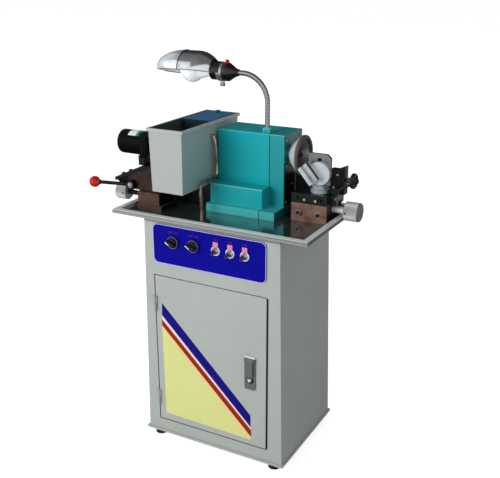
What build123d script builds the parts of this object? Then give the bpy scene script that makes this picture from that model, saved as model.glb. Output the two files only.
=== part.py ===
from build123d import *

import os
from math import cos, pi, radians, sin

os.makedirs("parts", exist_ok=True)

# Every size is in millimetres. X points right, Y to the back, Z up, and the cabinet stands over X = 0, Y = 0
# until the last move, which puts the origin under the middle of the whole machine.

# Fits and sheet
running_fit = 0.05
slide_gap = 0.2
hole_clearance = 0.3
sheet = 2

# Cabinet
foot_height = 14
foot_diameter = 30
foot_inset = 26
foot_setback = 15
base_thickness = 6
base_lip = 5
anchor_hole = 11
anchor_inset = 60
cabinet_height = 580
cabinet_width_top = 360
cabinet_width_bottom = 382
cabinet_depth = 288
rear_lean = 14
top_plate_thickness = 3
gland_thread = 20
gland_flange = 28
gland_height = 90
gland_length = 22

# Door and lock
door_width = 304
door_height = 397
door_left = -156
door_bottom = 37.6
door_gap = 2.5
door_lip = 14
knuckle_diameter = 9
knuckle_half = 20
hinge_pin = 4
hinge_low = 101
hinge_high = 361
hinge_leaf = 6
lock_width = 29
lock_height = 86
lock_thickness = 3
lock_depth = 20
lock_bottom = 191.7
lock_from_right = 27
lock_rim = 5
handle_width = 18
handle_thickness = 6
handle_length = 44
cheek_thickness = 3
cheek_reach = 4
handle_pin = 3
button_diameter = 14
button_proud = 4
button_length = 12
button_travel = 2.5
button_up = 26

# Control panel
panel_width = 298
panel_height = 95
panel_thickness = 2.5
panel_radius = 13
panel_drop = 13.5
panel_shift = -4
panel_backing = 18
bezel_diameter = 30
bezel_height = 6
barrel_diameter = 22
barrel_length = 10
contact_block = 28
contact_length = 34
selector_left = -96.7
selector_pitch = 55.5
selector_up = 58.3
knob_disc = 23
knob_disc_height = 4
knob_bar = 8
knob_bar_height = 11
knob_turn = 70
knob_stem = 10
toggle_left = 17.4
toggle_pitch = 38
toggle_up = 56
toggle_body_width = 16
toggle_body_height = 28
toggle_body_length = 26
bushing_diameter = 12
bushing_bore = 8
bushing_proud = 9
toggle_nut = 17
toggle_nut_height = 3
toggle_length = 14
toggle_tip = 3
toggle_neck = 1.8
toggle_tilt = 12

# Drip tray
tray_width = 510
tray_depth = 308
tray_shift = -14
tray_flange = 12
tray_wall_height = 12.4

# Headstock
base_block_height = 20
base_block_margin = 5
base_block_front = -40.5
casing_width = 138
casing_depth = 99
casing_height = 191.6
casing_left = -65
casing_front = 13.4
casing_wall = 6
front_box_depth = 41
front_box_height = 47
stand_thickness = 38
stand_lip = 2
bearing_outer = 47
bearing_inner = 20
bearing_width = 14
bearing_boss = 60
bearing_stop = 4
spindle_back = 36
spindle_up = 143
pulley_diameter = 44
pulley_width = 18
pulley_groove = 5
belt_width = 10
belt_height = 6
belt_gap = 0.3
belt_slot_width = 34
motor_pulley_diameter = 60

# Main motor
motor_diameter = 130
motor_length = 132
motor_shaft = 14
motor_centre_height = 75
motor_gap = 12
motor_foot_width = 120
motor_foot_length = 100

# Cup wheel
flange_diameter = 36
flange_length = 6
wheel_bore = 16
wheel_hub_radius = 23
wheel_hub_length = 11
wheel_depth = 31
wheel_radius = 47
wheel_wall = 5
rim_width = 9
rim_length = 7
screw_head = 15
screw_head_length = 8
screw_thread = 8
screw_washer = 28
washer_thickness = 3

# Coolant tank
tank_width = 98
tank_depth = 269
tank_height = 151
tank_front = -140
tank_up = 60
tank_gap = 4.2
tank_rim = 4
tank_wall = 2
tank_taper = 3
pump_depth = 118
pump_side_gap = 3
pump_fitting = 12
pump_fitting_height = 6
support_width = 60
support_depth = 120
support_wall = 5
support_foot = 14
pipe_diameter = 6
pipe_bore = 4
pipe_entry_up = 112
pipe_drop_up = 12
pipe_entry_back = 130
pipe_foot_back = 70
pipe_stand_off = 5
pipe_bend = 12
pipe_collar = 12
pipe_collar_height = 4

# Lamp
lamp_x = 55
lamp_back = 24
lamp_foot_diameter = 22
lamp_foot_height = 10
neck_diameter = 12.5
neck_groove = 1.1
neck_bore = 6
neck_ribs = 60
neck_straight = 56
neck_radius = 66
neck_end = 9
holder_radius = 20
holder_length = 72
holder_collar_radius = 21.5
holder_collar = 12
holder_cone = 26
socket_depth = 24
socket_radius = 13.5
clamp_width = 14
clamp_wall = 2
clamp_lug = 8
hood_radius = 45.5
hood_wall = 1.5
hood_neck = 10
hood_nose = 63
hood_barrel = 54
hood_shoulder = 48
hood_flare = 1.6
hood_skirt = 6
hood_turn = 15
bulb_radius = 30
bulb_cap_radius = 13
bulb_neck = 56
thumb_diameter = 4
thumb_drop = 8
thumb_wing = 12
thumb_wing_height = 7
switch_diameter = 9
switch_proud = 4
switch_depth = 7
switch_travel = 1.5

# Left station
left_margin = 13
left_base_width = 71
left_base_depth = 70
left_base_height = 13
left_base_back = 49
left_riser_width = 62
left_riser_depth = 60
left_riser_height = 30
rail_width = 22
rail_height = 7
carriage_overhang = 34
carriage_clear = 9
carriage_depth = 40
carriage_height = 62
arm_reach = 40
arm_drop = 38
arm_thickness = 9
arm_top_width = 42
feed_shaft = 12
feed_shaft_grip = 40
feed_screw_drop = 15
left_knob_diameter = 40
left_knob_length = 30
left_knob_clear = 20
pivot_from_left = 15
pivot_up = 13
lever_hub = 22
lever_hub_length = 13
lever_shaft = 10
lever_shaft_grip = 24
lever_rod = 9
lever_reach = 114
lever_dip = 3.5
ball_diameter = 28
gear_length = 22
gear_width = 60
gear_from_right = 32
can_diameter = 58
can_length = 47
bracket_width = 16
bracket_height = 24
bracket_depth = 34
gear_forward = 10
arbor_diameter = 12
arbor_grip = 14
collet_diameter = 26
collet_length = 24

# Right station
right_margin = 12
right_riser_width = 89
right_riser_depth = 78
right_riser_height = 43
right_riser_back = 149
riser_bolt_head = 13
riser_bolt_depth = 6
riser_bolt_pitch = 44
riser_bolt_up = 19
slide_height = 23
slot_length = 22
slot_height = 8
slot_depth = 5
slot_pitch = 42
stop_thickness = 16
stop_width = 48
right_knob_diameter = 45
right_knob_length = 39
right_knob_clear = 2.5
right_shaft = 16
right_shaft_grip = 40
right_screw_up = 28
table_radius = 22
table_height = 10
table_pin = 10
table_step = 3
table_shift = 14.5
table_back = 30
plate_width = 55
plate_height = 72
plate_thickness = 8
plate_chamfer = 9
plate_hole = 9
plate_hole_down = 17
disc_radius = 27
disc_thickness = 14
disc_shaft = 12
disc_up = 29
disc_shift = 4
vise_length = 47
vise_width = 26
vise_base = 6
vise_jaw_width = 9
vise_jaw_height = 12
vise_angle = 49
vise_shift = 19
index_width = 35
index_height = 66
index_depth = 20
index_drop = 17
index_shoulder = 15
index_slope = 9
index_grip = 12
index_knob_diameter = 36
index_knob_length = 10
index_neck = 8
index_neck_length = 13
index_knob_up = 33
index_hub = 16
index_hub_in = 20
index_hub_up = 10
index_hub_length = 18
index_rod_in = 4.5
index_lever_pin = 8
index_lever_rod = 7
index_lever_reach = 56
index_lever_angle = 32
index_ball = 13


def front_plane(y):
    return Plane.XZ.offset(-y)


def side_plane(x):
    return Plane.YZ.offset(x)


def block(x, y, z, mode=Mode.ADD):
    with Locations(((x[0] + x[1]) / 2, (y[0] + y[1]) / 2, (z[0] + z[1]) / 2)):
        Box(x[1] - x[0], y[1] - y[0], z[1] - z[0], mode=mode)


def rod(start, direction, radius, length, mode=Mode.ADD):
    with Locations(Plane(origin=start, z_dir=direction)):
        Cylinder(radius, length, align=(Align.CENTER, Align.CENTER, Align.MIN), mode=mode)


def tapered(start, direction, radius, end_radius, length, mode=Mode.ADD):
    with Locations(Plane(origin=start, z_dir=direction)):
        Cone(radius, end_radius, length, align=(Align.CENTER, Align.CENTER, Align.MIN), mode=mode)


right_way = (1, 0, 0)
left_way = (-1, 0, 0)
back_way = (0, 1, 0)
front_way = (0, -1, 0)
up_way = (0, 0, 1)
down_way = (0, 0, -1)

# Levels and faces that several pieces share
base_top = foot_height + base_thickness
cabinet_top = foot_height + cabinet_height
front_y = -cabinet_depth / 2
rear_y = cabinet_depth / 2
tray_floor = cabinet_top + sheet
tray_top = tray_floor + tray_wall_height
pan_half_width = tray_width / 2 - tray_flange
pan_front = tray_shift - tray_depth / 2 + tray_flange
pan_left = -pan_half_width + sheet
pan_right = pan_half_width - sheet

casing_right = casing_left + casing_width
casing_back = casing_front + casing_depth
casing_base = tray_floor + base_block_height
casing_top = tray_floor + casing_height
stand_right = casing_right + stand_thickness
spindle_y = casing_front + spindle_back
spindle_z = tray_floor + spindle_up
pulley_x = casing_left + casing_width / 2
motor_z = base_top + motor_centre_height

tank_right = casing_left - tank_gap
tank_left = tank_right - tank_width
tank_x = (tank_left + tank_right) / 2
tank_y = tank_front + tank_depth / 2
tank_bottom = tray_floor + tank_up
tank_top = tank_bottom + tank_height

# Cabinet shell
with BuildPart() as rubber_feet:
    with BuildSketch(Plane.XY):
        with GridLocations(
            cabinet_width_bottom - 2 * foot_inset, cabinet_depth - 2 * foot_setback, 2, 2
        ):
            Circle(foot_diameter / 2)
    extrude(amount=foot_height)

with BuildPart() as base_plate:
    with BuildSketch(Plane.XY.offset(foot_height)):
        Rectangle(cabinet_width_bottom + 2 * base_lip, cabinet_depth + 2 * base_lip)
        with GridLocations(
            cabinet_width_bottom - 2 * anchor_inset, cabinet_depth - 2 * anchor_inset, 2, 2
        ):
            Circle(anchor_hole / 2, mode=Mode.SUBTRACT)
    extrude(amount=base_thickness)

rear_run = cabinet_top - base_top
gland_z = base_top + gland_height
gland_y = rear_y - rear_lean * gland_height / rear_run
gland_plane = Plane(origin=(0, gland_y, gland_z), x_dir=right_way, z_dir=(0, rear_run, rear_lean))

with BuildPart() as cabinet_wrap:
    for z, width, depth in (
        (base_top, cabinet_width_bottom, cabinet_depth - sheet),
        (cabinet_top, cabinet_width_top, cabinet_depth - sheet - rear_lean),
    ):
        with BuildSketch(Plane.XY.offset(z)):
            with Locations((0, front_y + sheet)):
                Rectangle(width, depth, align=(Align.CENTER, Align.MIN))
    loft(ruled=True)
    for z, width, depth in (
        (base_top, cabinet_width_bottom, cabinet_depth - sheet),
        (cabinet_top, cabinet_width_top, cabinet_depth - sheet - rear_lean),
    ):
        with BuildSketch(Plane.XY.offset(z)):
            with Locations((0, front_y)):
                Rectangle(width - 2 * sheet, depth, align=(Align.CENTER, Align.MIN))
    loft(ruled=True, mode=Mode.SUBTRACT)
    with BuildSketch(Plane.XY.offset(cabinet_top - top_plate_thickness)):
        with Locations((0, front_y + sheet)):
            Rectangle(
                cabinet_width_top - sheet,
                cabinet_depth - rear_lean - 1.5 * sheet,
                align=(Align.CENTER, Align.MIN),
            )
        with Locations((pulley_x, spindle_y)):
            Rectangle(belt_slot_width, motor_pulley_diameter + belt_slot_width, mode=Mode.SUBTRACT)
    extrude(amount=top_plate_thickness)
    with BuildSketch(gland_plane):
        Circle(gland_thread / 2 + hole_clearance)
    extrude(amount=2 * sheet, both=True, mode=Mode.SUBTRACT)

with BuildPart() as cable_gland:
    with BuildSketch(gland_plane):
        RegularPolygon(gland_flange / 2, 6)
        Circle(gland_thread / 4, mode=Mode.SUBTRACT)
    extrude(amount=gland_flange / 4)
    with BuildSketch(gland_plane.offset(gland_flange / 4 - gland_length)):
        Circle(gland_thread / 2)
        Circle(gland_thread / 4, mode=Mode.SUBTRACT)
    extrude(amount=gland_length)

door_right = door_left + door_width
door_x = (door_left + door_right) / 2
door_low = foot_height + door_bottom
door_z = door_low + door_height / 2
panel_low = cabinet_top - panel_drop - panel_height
panel_z = panel_low + panel_height / 2
panel_face = front_y - panel_thickness

with BuildPart() as cabinet_front:
    with BuildSketch(front_plane(front_y)):
        with BuildLine():
            Polyline(
                (-cabinet_width_bottom / 2, base_top),
                (cabinet_width_bottom / 2, base_top),
                (cabinet_width_top / 2, cabinet_top),
                (-cabinet_width_top / 2, cabinet_top),
                close=True,
            )
        make_face()
        with Locations((door_x, door_z)):
            Rectangle(door_width + 2 * door_gap, door_height + 2 * door_gap, mode=Mode.SUBTRACT)
        with Locations((panel_shift, panel_z)):
            Rectangle(
                panel_width - 2 * panel_backing, panel_height - 2 * panel_backing, mode=Mode.SUBTRACT
            )
    extrude(amount=-sheet)

# Control panel and its switches
selector_spots = [
    (selector_left + i * selector_pitch, panel_low + selector_up) for i in range(2)
]
toggle_spots = [(toggle_left + i * toggle_pitch, panel_low + toggle_up) for i in range(3)]

with BuildPart() as control_panel:
    with BuildSketch(front_plane(front_y)):
        with Locations((panel_shift, panel_z)):
            RectangleRounded(panel_width, panel_height, panel_radius)
        with Locations(*selector_spots):
            Circle(barrel_diameter / 2 + hole_clearance, mode=Mode.SUBTRACT)
        with Locations(*toggle_spots):
            Circle(bushing_diameter / 2 + hole_clearance, mode=Mode.SUBTRACT)
    extrude(amount=panel_thickness)

with BuildPart() as selector_bezels:
    with BuildSketch(front_plane(panel_face)):
        with Locations(*selector_spots):
            Circle(bezel_diameter / 2)
    extrude(amount=bezel_height)
    with BuildSketch(front_plane(panel_face)):
        with Locations(*selector_spots):
            Circle(barrel_diameter / 2)
    extrude(amount=-(panel_thickness + barrel_length))
    with BuildSketch(front_plane(front_y + barrel_length)):
        with Locations(*selector_spots):
            Rectangle(contact_block, contact_block)
    extrude(amount=-contact_length)
    with BuildSketch(front_plane(panel_face - bezel_height)):
        with Locations(*selector_spots):
            Circle(knob_stem / 2 + running_fit)
    extrude(amount=-(bezel_height + barrel_length), mode=Mode.SUBTRACT)

knob_face = panel_face - bezel_height - slide_gap
knob_lean = radians(knob_turn)


def make_selector_knob(spot):
    x, z = spot
    bar_plane = Plane(
        origin=(x, knob_face - knob_disc_height, z),
        x_dir=(cos(knob_lean), 0, sin(knob_lean)),
        z_dir=front_way,
    )
    with BuildPart() as knob:
        rod((x, knob_face, z), front_way, knob_disc / 2, knob_disc_height)
        with Locations(bar_plane):
            Box(knob_bar, knob_disc, knob_bar_height, align=(Align.CENTER, Align.CENTER, Align.MIN))
        rod((x, knob_face, z), back_way, knob_stem / 2, bezel_height + barrel_length - slide_gap)
        fillet(knob.faces().sort_by(Axis.Y)[0].edges(), knob_bar / 5)
    return knob


selector_knobs = [make_selector_knob(spot) for spot in selector_spots]

with BuildPart() as toggle_bushings:
    with BuildSketch(front_plane(panel_face)):
        with Locations(*toggle_spots):
            RegularPolygon(toggle_nut / 2, 6)
    extrude(amount=toggle_nut_height)
    with BuildSketch(front_plane(panel_face - bushing_proud)):
        with Locations(*toggle_spots):
            Circle(bushing_diameter / 2)
    extrude(amount=-(bushing_proud + panel_thickness))
    with BuildSketch(front_plane(front_y)):
        with Locations(*toggle_spots):
            Rectangle(toggle_body_width, toggle_body_height)
    extrude(amount=-toggle_body_length)
    with BuildSketch(front_plane(panel_face - bushing_proud)):
        with Locations(*toggle_spots):
            Circle(bushing_bore / 2)
    extrude(amount=-(bushing_proud + panel_thickness), mode=Mode.SUBTRACT)

toggle_pivot_y = panel_face - bushing_proud + bushing_bore / 2
lean = radians(toggle_tilt)


def make_toggle_lever(spot):
    pivot = (spot[0], toggle_pivot_y, spot[1])
    way = (0, -cos(lean), -sin(lean))
    with BuildPart() as lever:
        with Locations(pivot):
            Sphere(bushing_bore / 2 - slide_gap)
        tapered(pivot, way, toggle_neck, toggle_tip, toggle_length)
        with Locations(Plane(origin=pivot, z_dir=way).offset(toggle_length)):
            Sphere(toggle_tip)
    return lever


toggle_levers = [make_toggle_lever(spot) for spot in toggle_spots]

# Door, hinges and lock
lock_x = door_right - lock_from_right - lock_width / 2
lock_low = foot_height + lock_bottom
lock_z = lock_low + lock_height / 2
hinge_x = door_left - door_gap / 2
hinge_y = front_y - knuckle_diameter / 2
hinge_levels = [foot_height + hinge_low, foot_height + hinge_high]

with BuildPart() as door_panel:
    with BuildSketch(front_plane(front_y)):
        with Locations((door_x, door_z)):
            Rectangle(door_width, door_height)
        with Locations((lock_x, lock_z)):
            Rectangle(lock_width - 2 * lock_rim, lock_height - 2 * lock_rim, mode=Mode.SUBTRACT)
    extrude(amount=-sheet)
    with BuildSketch(front_plane(front_y)):
        with Locations((door_x, door_z)):
            Rectangle(door_width, door_height)
            Rectangle(door_width - 2 * sheet, door_height - 2 * sheet, mode=Mode.SUBTRACT)
    extrude(amount=-door_lip)

with BuildPart() as hinge_frame_halves:
    for level in hinge_levels:
        rod((hinge_x, hinge_y, level), down_way, knuckle_diameter / 2, knuckle_half)
        block(
            (hinge_x - hinge_leaf, hinge_x),
            (hinge_y, front_y),
            (level - knuckle_half, level),
        )
        rod((hinge_x, hinge_y, level), up_way, hinge_pin / 2, knuckle_half - slide_gap)

with BuildPart() as hinge_door_halves:
    for level in hinge_levels:
        low = level + slide_gap
        rod((hinge_x, hinge_y, low), up_way, knuckle_diameter / 2, knuckle_half)
        block((hinge_x, hinge_x + hinge_leaf), (hinge_y, front_y), (low, low + knuckle_half))
        rod((hinge_x, hinge_y, low), up_way, hinge_pin / 2 + running_fit, knuckle_half, Mode.SUBTRACT)

lock_face = front_y - lock_thickness
button_z = lock_low + button_up
handle_top = lock_low + lock_height - handle_thickness
handle_y = lock_face - slide_gap - handle_thickness / 2
cheek_gap = handle_width / 2 + slide_gap

with BuildPart() as lock_plate:
    with BuildSketch(front_plane(front_y)):
        with Locations((lock_x, lock_z)):
            RectangleRounded(lock_width, lock_height, lock_rim)
    extrude(amount=lock_thickness)
    with BuildSketch(front_plane(front_y)):
        with Locations((lock_x, lock_z)):
            Rectangle(
                lock_width - 2 * lock_rim - 2 * hole_clearance,
                lock_height - 2 * lock_rim - 2 * hole_clearance,
            )
    extrude(amount=-lock_depth)
    for side in (-1, 1):
        ends = sorted(lock_x + side * (cheek_gap + reach) for reach in (0, cheek_thickness))
        block(
            ends,
            (handle_y - handle_thickness / 2, lock_face),
            (handle_top - cheek_reach, handle_top + cheek_reach),
        )
    rod(
        (lock_x - cheek_gap - cheek_thickness, handle_y, handle_top),
        right_way,
        handle_pin / 2 + running_fit,
        2 * (cheek_gap + cheek_thickness),
        Mode.SUBTRACT,
    )
    rod(
        (lock_x, lock_face, button_z),
        back_way,
        button_diameter / 2 + running_fit,
        button_length + button_travel + slide_gap - button_proud,
        Mode.SUBTRACT,
    )

with BuildPart() as lock_handle:
    block(
        (lock_x - handle_width / 2, lock_x + handle_width / 2),
        (handle_y - handle_thickness / 2, handle_y + handle_thickness / 2),
        (handle_top - handle_length, handle_top),
    )
    rod(
        (lock_x - handle_width / 2, handle_y, handle_top),
        right_way,
        handle_thickness / 2,
        handle_width,
    )
    rod(
        (lock_x - cheek_gap - cheek_thickness, handle_y, handle_top),
        right_way,
        handle_pin / 2,
        2 * (cheek_gap + cheek_thickness),
    )

with BuildPart() as lock_button:
    rod((lock_x, lock_face - button_proud, button_z), back_way, button_diameter / 2, button_length)
    chamfer(lock_button.faces().sort_by(Axis.Y)[0].edges(), button_proud / 4)

# Drip tray
pipe_x = tank_right + pipe_stand_off + pipe_diameter / 2
pipe_foot_y = tank_front + pipe_foot_back

with BuildPart() as drip_tray:
    with BuildSketch(Plane.XY.offset(cabinet_top)):
        with Locations((0, tray_shift)):
            Rectangle(2 * pan_half_width, tray_depth - 2 * tray_flange)
    extrude(amount=sheet + tray_wall_height)
    with BuildSketch(Plane.XY.offset(tray_top - sheet)):
        with Locations((0, tray_shift)):
            Rectangle(tray_width, tray_depth)
    extrude(amount=sheet)
    with BuildSketch(Plane.XY.offset(tray_floor)):
        with Locations((0, tray_shift)):
            Rectangle(2 * pan_half_width - 2 * sheet, tray_depth - 2 * tray_flange - 2 * sheet)
    extrude(amount=tray_wall_height, mode=Mode.SUBTRACT)
    with BuildSketch(Plane.XY.offset(cabinet_top)):
        with Locations((pulley_x, spindle_y)):
            Rectangle(belt_slot_width, motor_pulley_diameter + belt_slot_width)
        with Locations((pipe_x, pipe_foot_y)):
            Circle(pipe_bore / 2)
    extrude(amount=sheet, mode=Mode.SUBTRACT)

# Headstock
with BuildPart() as headstock_base:
    block(
        (casing_left - base_block_margin, casing_right),
        (base_block_front, casing_back),
        (tray_floor, casing_base),
    )
    block(
        (pulley_x - belt_slot_width / 2, pulley_x + belt_slot_width / 2),
        (casing_front + casing_wall, casing_back - casing_wall),
        (tray_floor, casing_base),
        Mode.SUBTRACT,
    )
    block(
        (casing_left, casing_right + stand_lip),
        (casing_front - front_box_depth, casing_front),
        (casing_base, casing_base + front_box_height),
    )
    fillet(
        headstock_base.edges().filter_by(Axis.X).group_by(Axis.Z)[-1].sort_by(Axis.Y)[0],
        casing_wall / 2,
    )

with BuildPart() as headstock_casing:
    block((casing_left, casing_right), (casing_front, casing_back), (casing_base, casing_top))
    block(
        (casing_left + casing_wall, casing_right - casing_wall),
        (casing_front + casing_wall, casing_back - casing_wall),
        (casing_base, casing_top - casing_wall),
        Mode.SUBTRACT,
    )
    rod(
        (casing_left + casing_wall, spindle_y, spindle_z),
        right_way,
        bearing_boss / 2,
        bearing_width,
    )
    rod(
        (casing_left + casing_wall, spindle_y, spindle_z),
        right_way,
        bearing_outer / 2,
        bearing_width,
        Mode.SUBTRACT,
    )
    rod(
        (casing_right - casing_wall, spindle_y, spindle_z),
        right_way,
        bearing_inner / 2 + bearing_stop,
        casing_wall,
        Mode.SUBTRACT,
    )
    fillet(
        headstock_casing.edges().filter_by(Axis.X).group_by(Axis.Z)[-1],
        casing_wall / 2,
    )

stand_bearing_x = stand_right - bearing_stop - bearing_width

with BuildPart() as bearing_stand:
    block((casing_right, stand_right), (casing_front, casing_back), (casing_base, casing_top))
    block(
        (casing_right, stand_right + stand_lip),
        (base_block_front, casing_back),
        (tray_floor, casing_base),
    )
    rod(
        (casing_right, spindle_y, spindle_z),
        right_way,
        bearing_inner / 2 + bearing_stop,
        stand_thickness,
        Mode.SUBTRACT,
    )
    rod(
        (casing_right, spindle_y, spindle_z),
        right_way,
        bearing_outer / 2,
        stand_bearing_x + bearing_width - casing_right,
        Mode.SUBTRACT,
    )
    fillet(
        bearing_stand.edges().filter_by(Axis.X).group_by(Axis.Z)[-1],
        casing_wall / 2,
    )

with BuildPart() as spindle_bearings:
    for x in (casing_left + casing_wall, stand_bearing_x):
        rod((x, spindle_y, spindle_z), right_way, bearing_outer / 2, bearing_width)
        rod(
            (x, spindle_y, spindle_z),
            right_way,
            bearing_inner / 2 + running_fit,
            bearing_width,
            Mode.SUBTRACT,
        )

# Spindle, belt drive and motor
spindle_left = casing_left + casing_wall + slide_gap
flange_x = stand_right + slide_gap
wheel_x = flange_x + flange_length
wheel_face = wheel_x + wheel_depth

with BuildPart() as spindle:
    rod((spindle_left, spindle_y, spindle_z), right_way, bearing_inner / 2, flange_x - spindle_left)
    rod((flange_x, spindle_y, spindle_z), right_way, flange_diameter / 2, flange_length)
    rod((wheel_x, spindle_y, spindle_z), right_way, wheel_bore / 2, wheel_hub_length)
    rod(
        (wheel_x, spindle_y, spindle_z),
        right_way,
        screw_thread / 2,
        wheel_hub_length,
        Mode.SUBTRACT,
    )


def make_pulley(y, z, diameter):
    with BuildPart() as pulley:
        rod((pulley_x - pulley_width / 2, y, z), right_way, diameter / 2, pulley_width)
        groove = belt_width / 2 + belt_gap
        rod(
            (pulley_x - groove, y, z),
            right_way,
            diameter / 2,
            2 * groove,
            Mode.SUBTRACT,
        )
        rod((pulley_x - groove, y, z), right_way, diameter / 2 - pulley_groove, 2 * groove)
    return pulley


motor_left = pulley_x + pulley_width / 2 + motor_gap
spindle_pulley = make_pulley(spindle_y, spindle_z, pulley_diameter)
with spindle_pulley:
    rod(
        (pulley_x - pulley_width / 2, spindle_y, spindle_z),
        right_way,
        bearing_inner / 2,
        pulley_width,
        Mode.SUBTRACT,
    )
motor_pulley = make_pulley(spindle_y, motor_z, motor_pulley_diameter)
with motor_pulley:
    rod(
        (pulley_x, spindle_y, motor_z),
        right_way,
        motor_shaft / 2,
        motor_left + motor_length / 2 - slide_gap - pulley_x,
    )

with BuildPart() as drive_belt:
    for grow, mode in ((belt_gap + belt_height, Mode.ADD), (belt_gap, Mode.SUBTRACT)):
        with BuildSketch(side_plane(pulley_x - belt_width / 2)):
            with Locations((spindle_y, spindle_z)):
                Circle(pulley_diameter / 2 - pulley_groove + grow)
            with Locations((spindle_y, motor_z)):
                Circle(motor_pulley_diameter / 2 - pulley_groove + grow)
            make_hull()
        extrude(amount=belt_width, mode=mode)

with BuildPart() as main_motor:
    rod((motor_left, spindle_y, motor_z), right_way, motor_diameter / 2, motor_length)
    block(
        (
            motor_left + (motor_length - motor_foot_length) / 2,
            motor_left + (motor_length + motor_foot_length) / 2,
        ),
        (spindle_y - motor_foot_width / 2, spindle_y + motor_foot_width / 2),
        (base_top, motor_z - motor_diameter / 3),
    )
    rod(
        (motor_left, spindle_y, motor_z),
        right_way,
        motor_shaft / 2 + running_fit,
        motor_length / 2,
        Mode.SUBTRACT,
    )

# Cup wheel
with BuildPart() as cup_wheel_body:
    tapered(
        (wheel_x, spindle_y, spindle_z),
        right_way,
        wheel_hub_radius,
        wheel_radius,
        wheel_depth - rim_length,
    )
    tapered(
        (wheel_x + wheel_hub_length, spindle_y, spindle_z),
        right_way,
        wheel_hub_radius - wheel_wall,
        wheel_radius - rim_width,
        wheel_depth - rim_length - wheel_hub_length,
        Mode.SUBTRACT,
    )
    rod((wheel_x, spindle_y, spindle_z), right_way, wheel_bore / 2, wheel_hub_length, Mode.SUBTRACT)

with BuildPart() as cup_wheel_rim:
    rod((wheel_face - rim_length, spindle_y, spindle_z), right_way, wheel_radius, rim_length)
    rod(
        (wheel_face - rim_length, spindle_y, spindle_z),
        right_way,
        wheel_radius - rim_width,
        rim_length,
        Mode.SUBTRACT,
    )
    chamfer(
        cup_wheel_rim.faces().sort_by(Axis.X)[-1].edges().sort_by(SortBy.LENGTH)[-1],
        rim_length / 4,
    )

with BuildPart() as wheel_screw:
    washer_x = wheel_x + wheel_hub_length
    rod((washer_x, spindle_y, spindle_z), right_way, screw_washer / 2, washer_thickness)
    rod(
        (washer_x + washer_thickness, spindle_y, spindle_z),
        right_way,
        screw_head / 2,
        screw_head_length,
    )
    rod((washer_x, spindle_y, spindle_z), left_way, screw_thread / 2, wheel_hub_length)
    with BuildSketch(side_plane(washer_x + washer_thickness + screw_head_length)):
        with Locations((spindle_y, spindle_z)):
            RegularPolygon(screw_head / 3, 6)
    extrude(amount=-screw_head_length / 2, mode=Mode.SUBTRACT)

# Coolant tank, its support, pump and pipe
wall_right = tank_right - tank_rim
tank_inner_width = tank_width - 2 * tank_rim - 2 * tank_wall
tank_inner_depth = tank_depth - 2 * tank_rim - 2 * tank_wall

with BuildPart() as coolant_tank:
    for z, pull in ((tank_bottom, tank_taper), (tank_top, 0)):
        with BuildSketch(Plane.XY.offset(z)):
            with Locations((tank_x, tank_y)):
                Rectangle(
                    tank_width - 2 * tank_rim - 2 * pull, tank_depth - 2 * tank_rim - 2 * pull
                )
    loft(ruled=True)
    with BuildSketch(Plane.XY.offset(tank_top - tank_wall)):
        with Locations((tank_x, tank_y)):
            Rectangle(tank_width, tank_depth)
    extrude(amount=tank_wall)
    for z, pull in ((tank_bottom + tank_wall, tank_taper), (tank_top, 0)):
        with BuildSketch(Plane.XY.offset(z)):
            with Locations((tank_x, tank_y)):
                Rectangle(tank_inner_width - 2 * pull, tank_inner_depth - 2 * pull)
    loft(ruled=True, mode=Mode.SUBTRACT)

pump_width = tank_inner_width - 2 * tank_taper - 2 * pump_side_gap
pump_back = tank_front + tank_depth - tank_rim - tank_wall - tank_taper - pump_side_gap
pump_front = pump_back - pump_depth

with BuildPart() as coolant_pump:
    block(
        (tank_x - pump_width / 2, tank_x + pump_width / 2),
        (pump_front, pump_back),
        (tank_bottom + tank_wall, tank_top),
    )
    fillet(coolant_pump.edges().filter_by(Axis.Z), pump_side_gap)
    rod(
        (tank_x, pump_back - pump_fitting, tank_top),
        up_way,
        pump_fitting / 2,
        pump_fitting_height,
    )

support_y = (pump_front + pump_back) / 2

with BuildPart() as tank_support:
    block(
        (tank_x - support_width / 2, tank_x + support_width / 2),
        (support_y - support_depth / 2, support_y + support_depth / 2),
        (tray_floor, tank_bottom),
    )
    block(
        (tank_x - support_width / 2 + support_wall, tank_x + support_width / 2 - support_wall),
        (support_y - support_depth / 2, support_y + support_depth / 2),
        (tray_floor, tank_bottom - support_wall),
        Mode.SUBTRACT,
    )
    for side in (-1, 1):
        ends = sorted(
            tank_x + side * (support_width / 2 + reach) for reach in (-support_wall, support_foot)
        )
        block(
            ends,
            (support_y - support_depth / 2, support_y + support_depth / 2),
            (tray_floor, tray_floor + support_wall),
        )

pipe_y = tank_front + pipe_entry_back
pipe_high = tank_bottom + pipe_entry_up
pipe_low = tank_bottom + pipe_drop_up
pipe_wall_x = wall_right + slide_gap - tank_taper * (1 - pipe_entry_up / tank_height)

with BuildPart() as coolant_pipe:
    with BuildLine() as pipe_path:
        FilletPolyline(
            (pipe_wall_x, pipe_y, pipe_high),
            (pipe_x, pipe_y, pipe_high),
            (pipe_x, pipe_y, pipe_low),
            (pipe_x, pipe_foot_y, pipe_low),
            (pipe_x, pipe_foot_y, tray_floor),
            radius=[pipe_stand_off, pipe_bend, pipe_bend],
        )
    with BuildSketch(Plane(origin=(pipe_wall_x, pipe_y, pipe_high), z_dir=right_way)):
        Circle(pipe_diameter / 2)
        Circle(pipe_bore / 2, mode=Mode.SUBTRACT)
    sweep(path=pipe_path.wire())
    rod((pipe_x, pipe_foot_y, tray_floor), up_way, pipe_collar / 2, pipe_collar_height)
    rod((pipe_x, pipe_foot_y, tray_floor), up_way, pipe_bore / 2, pipe_collar_height, Mode.SUBTRACT)

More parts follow.
